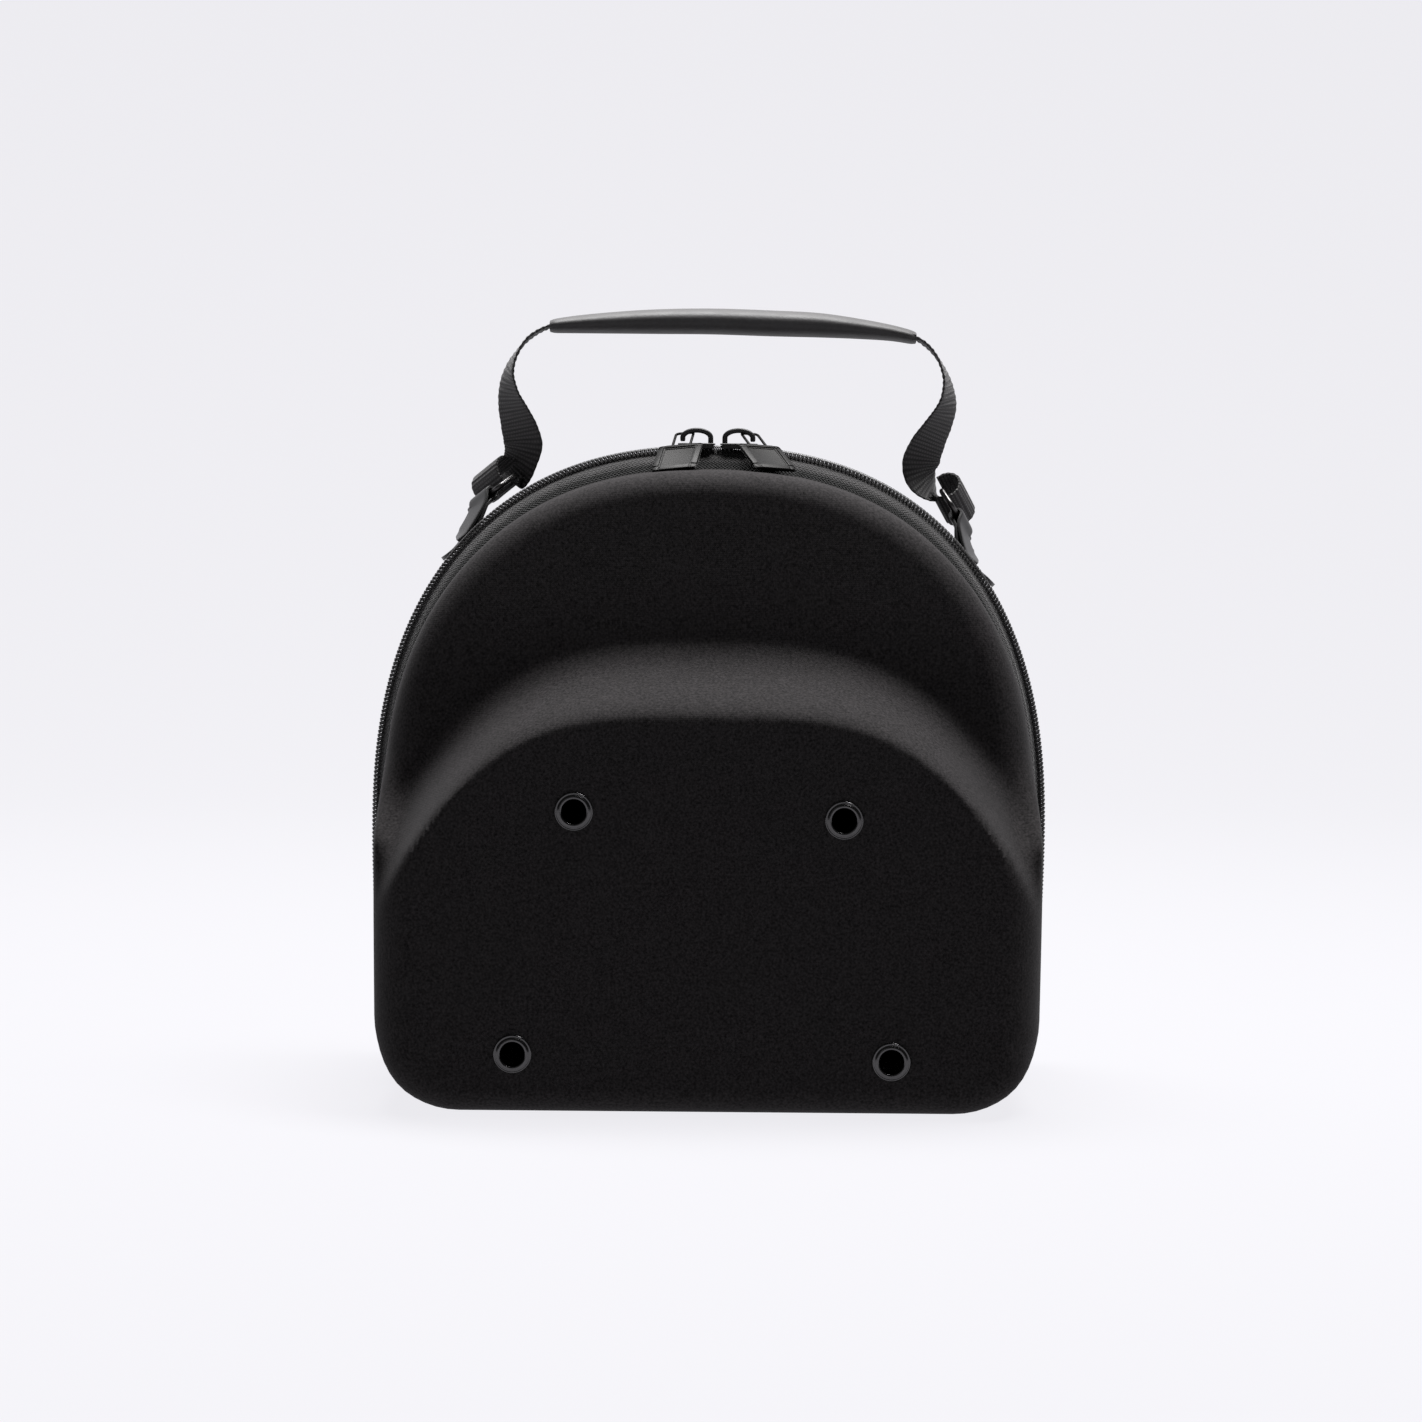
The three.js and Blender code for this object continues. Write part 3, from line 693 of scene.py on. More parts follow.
@dataclass(frozen=True)
class StrapWeave:
    """Ribbed nylon webbing of the handle."""

    colour: Triple = (0.036, 0.0342, 0.0348)
    rib_mm: float = 1.6
    end_mm: float = 1.5

    def dress(self) -> Finish:
        """Makes the material.

        Returns:
            The material.
        """
        kit = Dresser("strap_weave")
        along, across = kit.lay()
        rib = (along / self.rib_mm).wave()
        row = (along / self.rib_mm).math("FLOOR") * 0.5
        ends = (across / self.end_mm + row).wave()
        fuzz = kit.noise(0.35, 2.0)
        knot = rib * (0.45 + ends * 0.55)
        return kit.done(
            Base_Color=kit.shaded(self.colour, 0.22 + knot * 1.3 + fuzz * 0.3),
            Roughness=0.62 + fuzz * 0.25,
            Normal=kit.bump(knot * 0.85 + fuzz * 0.15, 0.35, 0.9),
            Specular_IOR_Level=0.35,
            Sheen_Weight=0.08,
            Sheen_Roughness=0.35,
        )


@dataclass(frozen=True)
class GripRubber:
    """Soft leather-grained rubber of the handle sleeve."""

    colour: Triple = (0.032, 0.0306, 0.0312)

    def dress(self) -> Finish:
        """Makes the material.

        Returns:
            The material.
        """
        kit = Dresser("grip_rubber")
        grain = kit.cells(1.3)
        cloud = kit.noise(14.0, 3.0)
        scuff = kit.noise(2.2, 3.0, (0.25, 1, 1))
        return kit.done(
            Base_Color=kit.shaded(self.colour, 0.75 + cloud * 0.3 + grain * 0.25),
            Roughness=0.5 + scuff * 0.2,
            Normal=kit.bump(grain * 0.8 + scuff * 0.2, 0.12, 0.5),
            Specular_IOR_Level=0.22,
        )


@dataclass(frozen=True)
class ToothNylon:
    """Moulded nylon of the zip teeth."""

    colour: Triple = (0.024, 0.0228, 0.0234)

    def dress(self) -> Finish:
        """Makes the material.

        Returns:
            The material.
        """
        kit = Dresser("tooth_nylon")
        cloud = kit.noise(0.8, 2.0)
        return kit.done(
            Base_Color=kit.shaded(self.colour, 0.7 + kit.tone() * 0.4 + cloud * 0.2),
            Roughness=0.34 + cloud * 0.14,
            Normal=kit.bump(cloud, 0.05, 0.4),
            Specular_IOR_Level=0.5,
        )


@dataclass(frozen=True)
class TabLeather:
    """Glossy coated tab that holds a strap ring."""

    colour: Triple = (0.012, 0.0115, 0.012)

    def dress(self) -> Finish:
        """Makes the material.

        Returns:
            The material.
        """
        kit = Dresser("tab_leather")
        grain = kit.cells(0.9)
        cloud = kit.noise(5.0, 3.0)
        return kit.done(
            Base_Color=kit.shaded(self.colour, 0.8 + cloud * 0.4),
            Roughness=0.4 + cloud * 0.16,
            Normal=kit.bump(grain * 0.6 + cloud * 0.4, 0.08, 0.35),
            Specular_IOR_Level=0.45,
            Coat_Weight=0.08,
            Coat_Roughness=0.3,
        )


@dataclass(frozen=True)
class Metal:
    """A metal finish, with fine scratches and a little stain."""

    name: str
    colour: Triple
    rough: float
    metallic: float = 1.0
    scratch: float = 0.3

    def dress(self) -> Finish:
        """Makes the material.

        Returns:
            The material.
        """
        kit = Dresser(self.name)
        stain = kit.noise(3.0, 4.0)
        brush = kit.noise(0.5, 2.0, (0.12, 1, 1))
        return kit.done(
            Base_Color=kit.shaded(self.colour, 0.78 + stain * 0.44),
            Metallic=self.metallic,
            Roughness=self.rough - 0.06 + stain * 0.1 + brush * 0.08,
            Normal=kit.bump(brush * 0.6 + stain * 0.4, 0.05, self.scratch),
        )


@dataclass
class Finishes:
    """The object's finishes, each made once."""

    shell: Finish = field(default_factory=ShellCloth().dress)
    tape: Finish = field(default_factory=TapeCloth().dress)
    webbing: Finish = field(default_factory=StrapWeave().dress)
    grip: Finish = field(default_factory=GripRubber().dress)
    teeth: Finish = field(default_factory=ToothNylon().dress)
    tab: Finish = field(default_factory=TabLeather().dress)
    slider: Finish = field(default_factory=Metal("slider_black", (0.018, 0.0175, 0.018), 0.42, 0.6).dress)
    pull: Finish = field(default_factory=Metal("pull_pewter", (0.01, 0.0097, 0.0096), 0.5).dress)
    eyelet: Finish = field(default_factory=Metal("eyelet_gunmetal", (0.07, 0.0685, 0.07), 0.2).dress)
    ring: Finish = field(default_factory=Metal("ring_gunmetal", (0.06, 0.058, 0.058), 0.3).dress)


def hand_over(
    piece: Piece,
    finish: Finish,
    nodes: tuple[str, ...] = (),
    body: str = CASE_BODY,
) -> Piece:
    """Dresses a piece and ties it to the frame.

    Args:
        piece: the finished piece.
        finish: its material.
        nodes: the solids that it stands for.
        body: the body that it moves with.

    Returns:
        The piece.
    """
    piece.data.materials.clear()
    piece.data.materials.append(finish)
    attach(piece, body)
    if nodes:
        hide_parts(*nodes)
    LOG.info("%s: %d faces, on %s", piece.name, len(piece.data.polygons), body)
    return piece


@dataclass(frozen=True)
class Inset:
    """How far a line lies inside the outer edge of the teeth, in mm."""

    side: float
    foot: float
    top: float
    bottom: float

    def more(self, by: float) -> "Inset":
        """The same line drawn further in all round."""
        return Inset(self.side + by, self.foot + by, self.top + by, self.bottom + by)


FRONT_RIM = Inset(6.4, 4.4, 9.6, 0.0)
BACK_RIM = Inset(3.6, 3.6, 3.6, 0.0)


@dataclass(frozen=True)
class CaseOutline:
    """The arch-shaped outline of the case, by stations that run round it from the bottom."""

    half_width: float = 140.5
    height: float = 264.0
    spring: float = 104.0
    power: float = 2.35
    corner: float = 40.0
    foot_half: float = 138.0
    bottom_steps: int = 8
    corner_steps: int = 12
    side_steps: int = 14
    arch_steps: int = 62

    def arch_turns(self) -> np.ndarray:
        """Angles of the arch that lie evenly along its length.

        Returns:
            The angles, in radians.
        """
        fine = np.linspace(0, QUARTER, 2000)
        x = self.half_width * np.cos(fine).clip(0) ** (2 / self.power)
        z = (self.height - self.spring) * np.sin(fine) ** (2 / self.power)
        length = run_length(np.stack([x, z], -1))
        return np.interp(np.arange(self.arch_steps + 1) / self.arch_steps * length[-1], length, fine)

    def count(self) -> int:
        """How many stations there are."""
        return 2 * (self.bottom_steps + self.corner_steps + self.side_steps + self.arch_steps)

    def at(self, inset: Inset, run: np.ndarray = 0.0) -> np.ndarray:
        """Places of all stations.

        Args:
            inset: how far the line lies inside the outer edge of the teeth.
            run: how much further in it is drawn, one number or one for each station.

        Returns:
            Rows of x and z, in mm.
        """
        count = self.count()
        half_count = count // 2 + 1
        order = np.concatenate([np.arange(half_count), np.arange(half_count - 2, 0, -1)])
        sign = np.where(np.arange(count) < half_count, 1.0, -1.0)
        run = np.broadcast_to(run, count).astype(float)
        half, foot = self.half_width - inset.side - run, self.foot_half - inset.foot - run
        rise, bottom = self.height - self.spring - inset.top - run, inset.bottom + run
        turn_in = np.maximum(self.corner - inset.foot - run, 4.0)
        first, second = self.bottom_steps, self.bottom_steps + self.corner_steps
        third = second + self.side_steps
        flat = np.clip(order / first, 0, 1)
        bend = QUARTER * np.clip((order - first) / self.corner_steps, 0, 1)
        climb = np.clip((order - second) / self.side_steps, 0, 1)
        arch = self.arch_turns()[np.clip(order - third, 0, self.arch_steps)]
        x = np.where(order < first, (foot - turn_in) * flat, foot - turn_in * (1 - np.sin(bend)))
        z = bottom + np.where(order < first, 0, turn_in * (1 - np.cos(bend)))
        x = np.where(order >= second, mix(foot, half, np.sin(QUARTER * climb)), x)
        z = np.where(order >= second, mix(bottom + turn_in, self.spring, climb), z)
        x = np.where(order >= third, half * np.cos(arch).clip(0) ** (2 / self.power), x)
        z = np.where(order >= third, self.spring + rise * np.sin(arch) ** (2 / self.power), z)
        return np.stack([x * sign, z], -1)

    def zip_range(self) -> tuple[int, int]:
        """The first and last station of the zip."""
        first = self.bottom_steps + self.corner_steps
        return first, self.count() - first

    def zip_line(self, inset: Inset) -> np.ndarray:
        """The stations of the zip, from its lower right end to its lower left end."""
        first, last = self.zip_range()
        return self.at(inset)[first : last + 1]

    def arch_height(self, x: float) -> float:
        """Height of the arch at a place across it."""
        across = min(abs(x) / self.half_width, 1) ** self.power
        return self.spring + (self.height - self.spring) * (1 - across) ** (1 / self.power)


@dataclass
class Edge:
    """Rounding between the wall and the face of a shell, in mm for each station."""

    run: np.ndarray
    deep: np.ndarray
    draft: np.ndarray


@dataclass
class MouldedShell:
    """A moulded half of the case: rim, wall, rounded edge and face, inside and out."""

    outline: CaseOutline
    half: Half
    rim: Inset
    heart: tuple[float, float]
    wall: float = 4.2
    rim_depth: float = 10.0
    lip: float = 2.6
    wall_rows: int = 12
    edge_rows: int = 18
    face_rows: int = 26

    def depth(self, x: np.ndarray, z: np.ndarray, skin: float = 0.0) -> np.ndarray:
        """Depth of the face below the rim plane, for a surface that lies skin inside the outer one."""
        raise NotImplementedError

    def edge(self, z: np.ndarray) -> Edge:
        """Rounding of the edge by height."""
        raise NotImplementedError

    def face_steps(self, x: np.ndarray, z: np.ndarray, rows: int) -> np.ndarray:
        """Shares of the way from the edge to the heart, as row and station."""
        return np.repeat(np.linspace(0, 1, rows + 2)[1:-1, None], len(x), 1)

    def surface(self, skin: float, wall_rows: int, edge_rows: int, face_rows: int) -> np.ndarray:
        """One surface of the shell, from its rim to its heart.

        Args:
            skin: how far inside the outer surface it lies.
            wall_rows: rows on the wall.
            edge_rows: rows on the rounded edge.
            face_rows: rows on the face.

        Returns:
            Places as row, station, axis, in mm.
        """
        rim = self.rim.more(skin)

        def inward(run: np.ndarray) -> np.ndarray:
            """The outline drawn in by a run at each station."""
            return self.outline.at(rim, run)

        def level(spot: np.ndarray) -> np.ndarray:
            """Depth of this surface at places."""
            return self.depth(spot[:, 0], spot[:, 1], skin) - skin

        def put(spot: np.ndarray, deep: np.ndarray) -> np.ndarray:
            """Places with their depth from the parting plane."""
            return at_depth(spot, self.half.value * (self.rim_depth + deep))

        edge = self.edge(inward(np.zeros(1))[:, 1])
        run = np.maximum(edge.run - skin * 1.5, 4)
        deep = np.maximum(edge.deep - skin * 1.5, 5)
        lip_level = level(inward(run))
        tall = np.maximum(lip_level - deep, 1)
        rows = []
        for k in range(wall_rows + 1):
            climb = tall * (k / wall_rows)
            rows.append(put(inward(climb * edge.draft), climb))
        for k in range(1, edge_rows + 1):
            turn = QUARTER * k / edge_rows
            spot = inward(tall * edge.draft + run * (1 - math.cos(turn)))
            top = mix(lip_level, level(spot), math.sin(turn) ** 2)
            rows.append(put(spot, tall + (top - tall) * math.sin(turn)))
        brim = rows[-1][:, [0, 2]]
        for t in self.face_steps(brim[:, 0], brim[:, 1], face_rows):
            spot = mix(brim, np.array(self.heart), t[:, None])
            rows.append(put(spot, level(spot)))
        return np.array(rows)

    def rolled_rim(self, outer: np.ndarray) -> np.ndarray:
        """Rounds the outer edge of the rim, where the cloth turns in to the tape.

        Args:
            outer: the outer surface as row, station, axis.

        Returns:
            The same surface with the rounded rim before it.
        """
        rows = []
        for k in range(7):
            turn = QUARTER * k / 6
            spot = self.outline.at(self.rim.more(self.lip * (1 - math.sin(turn))))
            y = self.half.value * (self.rim_depth + self.lip * (1 - math.cos(turn)))
            rows.append(at_depth(spot, y))
        keep = np.abs(outer[:, :, 1]).min(1) > self.rim_depth + self.lip * 1.05
        return np.concatenate([rows, outer[keep]])

    def build(self, name: str) -> Piece:
        """Models the shell as one closed form.

        Args:
            name: the piece's name.

        Returns:
            The piece.
        """
        outer = self.rolled_rim(self.surface(0, self.wall_rows, self.edge_rows, self.face_rows))
        inner = self.surface(self.wall, 4, 8, 14)
        rings = in_frame(np.concatenate([outer[::-1], inner]))
        heart = np.array([self.heart[0], 0.0, self.heart[1]])
        tips = np.array([heart, heart])
        level = float(self.depth(heart[:1], heart[2:])[0]) + self.rim_depth
        tips[:, 1] = [self.half.value * level, self.half.value * (level - self.wall)]
        return Bench.rod(name, rings, None, in_frame(tips))


@dataclass
class FrontShell(MouldedShell):
    """The front half: a shallow dome above, a deep bulge below and a ledge between them."""

    dome: float = 47.0
    dome_lean: float = 9.0
    bulge: float = 92.0
    crest: float = 170.5
    crest_drop: float = 74.0
    crest_span: float = 131.0
    crest_power: float = 3.4
    ledge_half: float = 15.0
    ledge_side_half: float = 8.0
    ledge_inside: float = 0.7
    middle_bite: float = 1.1
    side_bite: float = 0.64

    def ledge_place(self, x: np.ndarray, z: np.ndarray, skin: float = 0.0) -> np.ndarray:
        """Place across the ledge: -1 where the bulge begins, 1 where the dome begins.

        Args:
            x: places across the case.
            z: heights.
            skin: how far inside the outer surface; the ledge lies further in there.

        Returns:
            A place for each point.
        """
        along = np.minimum(np.abs(x) / self.crest_span, 1)
        crest = self.crest - self.crest_drop * along**self.crest_power
        slope = self.crest_drop * self.crest_power / self.crest_span * along ** (self.crest_power - 1)
        off = (z - crest) / np.hypot(1, slope) + skin * self.ledge_inside
        return off / mix(self.ledge_half, self.ledge_side_half, along**2)

    def depth(self, x: np.ndarray, z: np.ndarray, skin: float = 0.0) -> np.ndarray:
        """Depth of the face below the rim plane: the leaning dome, the ledge, then the bulge.

        Args:
            x: places across the case.
            z: heights.
            skin: how far inside the outer surface.

        Returns:
            A depth for each place, in mm.
        """
        dome = self.dome - self.dome_lean * smooth(self.crest, self.outline.height, z)
        bite = mix(self.middle_bite, self.side_bite, np.minimum(np.abs(x) / self.crest_span, 1) ** 2)
        across = np.clip((self.ledge_place(x, z, skin) + 1) / 2, 0, 1)
        return mix(self.bulge, dome, smooth(0, 1, across**bite))

    def edge(self, z: np.ndarray) -> Edge:
        """Rounding of the edge: tight at the foot, full at the sides, tight again over the dome.

        Args:
            z: heights.

        Returns:
            The rounding at those heights.
        """
        low, high = smooth(6, 30, z), smooth(110, 215, z)
        run = mix(mix(11, 18, low), 10, high)
        deep = mix(mix(15, 32, low), 12, high)
        return Edge(run, deep, mix(mix(0, 0.004, low), 0.02, high))

    def face_steps(self, x: np.ndarray, z: np.ndarray, rows: int) -> np.ndarray:
        """Rows that follow the ledge where it is crossed.

        Args:
            x: places of the edge across the case.
            z: their heights.
            rows: how many rows to lay.

        Returns:
            Shares of the way from the edge to the heart, as row and station.
        """
        share = np.linspace(0, 0.8, 161)[:, None]
        place = self.ledge_place(mix(x, self.heart[0], share), mix(z, self.heart[1], share))
        start = np.maximum(share[np.argmax(place <= 1.15, 0), 0], 0.03)
        end = np.maximum(share[np.argmax(place <= -1.15, 0), 0], start + 0.1)
        before, after = 3, 4
        across = rows - before - after
        parts = [start * k / (before + 1) for k in range(1, before + 1)]
        parts += [mix(start, end, k / (across - 1)) for k in range(across)]
        parts += [mix(end, 1, k / (after + 1)) for k in range(1, after + 1)]
        return np.array(parts)


@dataclass
class BackShell(MouldedShell):
    """The plain back half."""

    flat: float = 51.0

    def depth(self, x: np.ndarray, z: np.ndarray, skin: float = 0.0) -> np.ndarray:
        """Depth of the face below the rim plane, the same all over."""
        return np.full(np.shape(x), self.flat)

    def edge(self, z: np.ndarray) -> Edge:
        """Rounding of the edge: tight at the foot, fuller above.

        Args:
            z: heights.

        Returns:
            The rounding at those heights.
        """
        low = smooth(6, 40, z)
        return Edge(mix(11, 24, low), mix(15, 26, low), 0.03 * smooth(6, 60, z))


@dataclass(frozen=True)
class Vent:
    """One vent eyelet and its place on the bulge."""

    name: str
    x: float
    z: float


@dataclass
class Vents:
    """The four metal eyelets and their holes."""

    face: float = -102.3
    bore: float = 5.85
    drill_sides: int = 40
    drill_long: float = 60.0
    sides: int = 56
    weld: float = 0.02
    spots: tuple[Vent, ...] = (
        Vent("eyelet_upper_left", -52.8, 120.7),
        Vent("eyelet_upper_right", 53.2, 118.1),
        Vent("eyelet_lower_left", -76.4, 24.7),
        Vent("eyelet_lower_right", 72.8, 22.8),
    )
    profile: tuple[tuple[float, float], ...] = (
        (4.7, -0.2), (4.76, 0.3), (4.93, 0.72), (5.2, 0.98), (5.55, 1.07), (5.95, 1.0), (6.3, 0.76),
        (6.55, 0.48), (6.75, 0.36), (6.95, 0.4), (7.18, 0.5), (7.4, 0.42), (7.56, 0.18), (7.5, 0.02),
        (7.2, 0.0), (5.5, 0.0), (5.5, -4.7), (6.7, -4.75), (6.8, -5.0), (6.3, -5.5), (5.4, -5.72),
        (4.9, -5.6), (4.7, -5.2),
    )

    def drill(self, shell: Piece) -> None:
        """Cuts the four holes through a shell.

        Args:
            shell: the shell to cut.
        """
        for spot in self.spots:
            Bench.clear()
            bpy.ops.mesh.primitive_cylinder_add(
                vertices=self.drill_sides,
                radius=self.bore * MM,
                depth=self.drill_long * MM,
                rotation=(QUARTER, 0, 0),
                location=in_frame(np.array([spot.x, self.face, spot.z])),
            )
            cutter = Bench.named("vent_drill")
            Bench.finish(shell, "BOOLEAN", object=cutter, operation="DIFFERENCE", solver="EXACT")
            bpy.data.objects.remove(cutter)

    def ring(self, spot: Vent) -> Piece:
        """Models an eyelet by turning its rolled section round the hole.

        Args:
            spot: the vent that it lines.

        Returns:
            The piece.
        """
        Bench.clear()
        bpy.ops.mesh.primitive_circle_add(vertices=len(self.profile), radius=1)
        piece = Bench.named(f"{spot.name}_ring")
        section = np.array([[spot.x + r, self.face - h, spot.z] for r, h in self.profile])
        piece.location = (0, 0, 0)
        piece.data.vertices.foreach_set("co", in_frame(section).astype(np.float32).ravel())
        centre = in_frame(np.array([spot.x, self.face, spot.z]))
        with Bench.editing("SELECT"):
            bpy.ops.mesh.spin(steps=self.sides, angle=2 * math.pi, center=centre, axis=(0, 1, 0))
            bpy.ops.mesh.select_all(action="SELECT")
            bpy.ops.mesh.remove_doubles(threshold=self.weld * MM)
            bpy.ops.mesh.normals_make_consistent(inside=False)
        return Bench.soft_shade(piece, 50)

    def dress(self, finishes: Finishes) -> None:
        """Builds and ties on the eyelets.

        Args:
            finishes: the object's finishes.
        """
        for spot in self.spots:
            hand_over(self.ring(spot), finishes.eyelet, (spot.name,))


@dataclass
class Shells:
    """The two moulded halves."""

    outline: CaseOutline
    vents: Vents

    def dress(self, finishes: Finishes) -> None:
        """Builds and ties on the two shells.

        Args:
            finishes: the object's finishes.
        """
        front = FrontShell(self.outline, Half.FRONT, FRONT_RIM, (0.0, 96.0))
        shell = front.build("front_shell_skin")
        self.vents.drill(shell)
        Bench.soft_shade(shell, 40)
        hand_over(shell, finishes.shell, ("front_shell",))
        back = BackShell(self.outline, Half.BACK, BACK_RIM, (0.0, 120.0))
        shell = back.build("back_shell_skin")
        Bench.soft_shade(shell, 40)
        hand_over(shell, finishes.shell, ("back_shell",))


@dataclass
class ZipLine:
    """The closed zip: two cloth tapes, two rows of teeth and the cloth at the bottom."""

    outline: CaseOutline
    thick: float = 1.2
    reach: float = 9.7
    coil_inset: float = 3.1
    core_high: float = 1.7
    pitch: float = 1.7
    tooth_wire: float = 0.43
    tooth_deep: float = 3.3
    tooth_high: float = 2.6
    tooth_lean: float = 0.75
    sliders: tuple[float, float] = (-6.3, 11.2)
    post: float = 1.9

    def rim(self, half: Half) -> Inset:
        """The rim that a half's tape is sewn to."""
        return FRONT_RIM if half is Half.FRONT else BACK_RIM

    def mouth(self, x: np.ndarray, z: np.ndarray) -> np.ndarray:
        """How far the rows stand apart beside the slider posts.

        Args:
            x: places across the case.
            z: heights.

        Returns:
            A distance from the parting plane for each place, in mm.
        """
        low, high = self.sliders
        rise = smooth(low - 7, low + 2, x) * (1 - smooth(high - 2, high + 7, x))
        return np.where(z > self.outline.spring, rise * (self.post / 2 + 0.15), 0)

    def section(self, half: Half) -> tuple[np.ndarray, list[Inset], np.ndarray]:
        """The tape's section from the teeth to the rim and back along its underside.

        Args:
            half: which tape.

        Returns:
            Depths, insets and how far each point opens at the sliders.
        """
        tuck = self.rim(half).more(2.2)
        share = np.linspace(0, 1, 15)
        depth = mix(0.4, self.reach, share)
        core = self.core_high * (1 - smooth(1.6, 3.6, depth))
        ends = np.array([tuck.side, tuck.foot, tuck.top, tuck.bottom])
        insets = [Inset(*(mix(self.coil_inset, ends, s**2.6) - c)) for s, c in zip(share, core)]
        under = [row.more(self.thick) for row in insets]
        opens = np.clip(1 - share * 1.6, 0, 1)
        return (
            np.concatenate([depth, depth[::-1]]),
            insets + under[::-1],
            np.concatenate([opens, opens[::-1]]),
        )

    def tape(self, half: Half) -> Piece:
        """Models one tape as a lofted band of cloth.

        Args:
            half: which half of the zip.

        Returns:
            The piece.
        """
        depth, insets, opens = self.section(half)
        rings = []
        for y, inset, open_by in zip(depth, insets, opens):
            line = self.outline.zip_line(inset)
            shift = self.mouth(line[:, 0], line[:, 1]) * open_by
            rings.append(at_depth(line, half.value * (y + shift)))
        places = in_frame(np.moveaxis(np.array(rings), 0, 1))
        along = run_length(places[:, 0])
        across = run_length(places[len(places) // 2])
        lay = np.stack(np.meshgrid(along, across, indexing="ij"), -1)
        piece = Bench.rod(f"zip_tape_{half.word}_cloth", places, lay)
        return Bench.soft_shade(piece, 50)

    def path(self, inset: float, step: float) -> tuple[np.ndarray, np.ndarray, np.ndarray]:
        """Even places along the zip.

        Args:
            inset: how far inside the outer edge of the teeth.
            step: the distance between two places, in mm.

        Returns:
            Places as x and z, the direction along the zip, and outwards from the case.
        """
        fine = CaseOutline(side_steps=80, arch_steps=600)
        line = fine.zip_line(Inset(inset, inset, inset, inset))
        length = run_length(line)
        at = np.arange(0.6, length[-1] - 0.5, step)
        behind, spots, ahead = (
            np.stack([np.interp(at + shift, length, line[:, k]) for k in (0, 1)], -1)
            for shift in (-0.4, 0, 0.4)
        )
        along = unit(ahead - behind)
        return spots, along, np.stack([along[:, 1], -along[:, 0]], -1)

    def tooth(self) -> Piece:
        """Models one tooth: a slanted loop of wire, with its own axes along, deep and high.

        Returns:
            The piece, about the origin.
        """
        turn = 2 * math.pi * np.arange(10) / 10
        c, s = np.cos(turn), np.sin(turn)
        deep = np.sign(c) * np.abs(c) ** 0.62 * self.tooth_deep / 2
        high = np.sign(s) * np.abs(s) ** 0.62 * self.tooth_high / 2
        rings = []
        for d, h, cd, sh in zip(deep, high, c, s):
            lean = self.tooth_lean * h / (self.tooth_high / 2)
            ring = []
            for k in range(4):
                a = QUARTER * k + math.pi / 4
                reach = self.tooth_wire * math.cos(a)
                ring.append([lean + self.tooth_wire * math.sin(a), d + cd * reach, h + sh * reach])
            rings.append(ring)
        return Bench.hoop("zip_tooth", np.array(rings) * MM)

    def teeth(self, half: Half) -> Piece:
        """Lays one row of teeth along the zip.

        Args:
            half: which half of the zip.

        Returns:
            The piece.
        """
        spots, along, out = self.path(self.tooth_high / 2 + 0.15, self.pitch / 2)
        mine = slice(0 if half is Half.FRONT else 1, None, 2)
        spots, along, out = spots[mine], along[mine], out[mine]
        depth = half.value * (self.tooth_deep / 2 - 0.35 + self.mouth(spots[:, 0], spots[:, 1]))
        places = in_frame(at_depth(spots, depth))
        axes = np.stack(
            [
                at_depth(along, 0.0),
                np.tile([0.0, half.value, 0.0], (len(spots), 1)),
                at_depth(out, 0.0),
            ],
            1,
        )
        piece = Bench.repeat(f"zip_teeth_{half.word}", self.tooth(), places, axes)
        Bench.pick(piece)
        with Bench.editing("SELECT"):
            bpy.ops.mesh.normals_make_consistent(inside=False)
        return Bench.soft_shade(piece, 70)

    def hinge(self) -> Piece:
        """Models the cloth strip round the bottom, from one end of the zip to the other.

        Returns:
            The piece.
        """
        lift, thick = 0.9, 1.3
        share = np.linspace(-1, 1, 13)
        first, last = self.outline.zip_range()
        count = self.outline.count()
        order = [j % count for j in range(last, count + first + 1)]
        rings = []
        for layer in (0.0, thick):
            for s in share if layer == 0 else share[::-1]:
                rim = FRONT_RIM if s < 0 else BACK_RIM
                foot = mix(self.coil_inset, rim.foot + 1.0, abs(s) ** 2.1) + layer
                rise = mix(self.coil_inset - 0.3, lift, abs(s) ** 2.1) + layer
                line = self.outline.at(Inset(foot, foot, 0.0, rise))[order]
                line[0, 1] -= 0.3
                line[-1, 1] -= 0.3
                rings.append(at_depth(line, self.reach * s))
        places = in_frame(np.moveaxis(np.array(rings), 0, 1))
        lay = np.stack(
            np.meshgrid(run_length(places[:, 6]), run_length(places[len(places) // 2]), indexing="ij"), -1
        )
        piece = Bench.rod("hinge_cloth", places, lay)
        return Bench.soft_shade(piece, 50)

    def dress(self, finishes: Finishes) -> None:
        """Builds and ties on the zip.

        Args:
            finishes: the object's finishes.
        """
        for half in Half:
            tape = hand_over(self.tape(half), finishes.tape, (f"zip_tape_{half.word}",))
            hand_over(self.teeth(half), finishes.teeth, (f"zip_coil_{half.word}",))
        hinge = hand_over(self.hinge(), finishes.tape, ("hinge_tape",))


@dataclass(frozen=True)
class PullHang:
    """How one pull hangs from its slider."""

    side: Side
    x: float
    axis: Triple
    hang: Triple


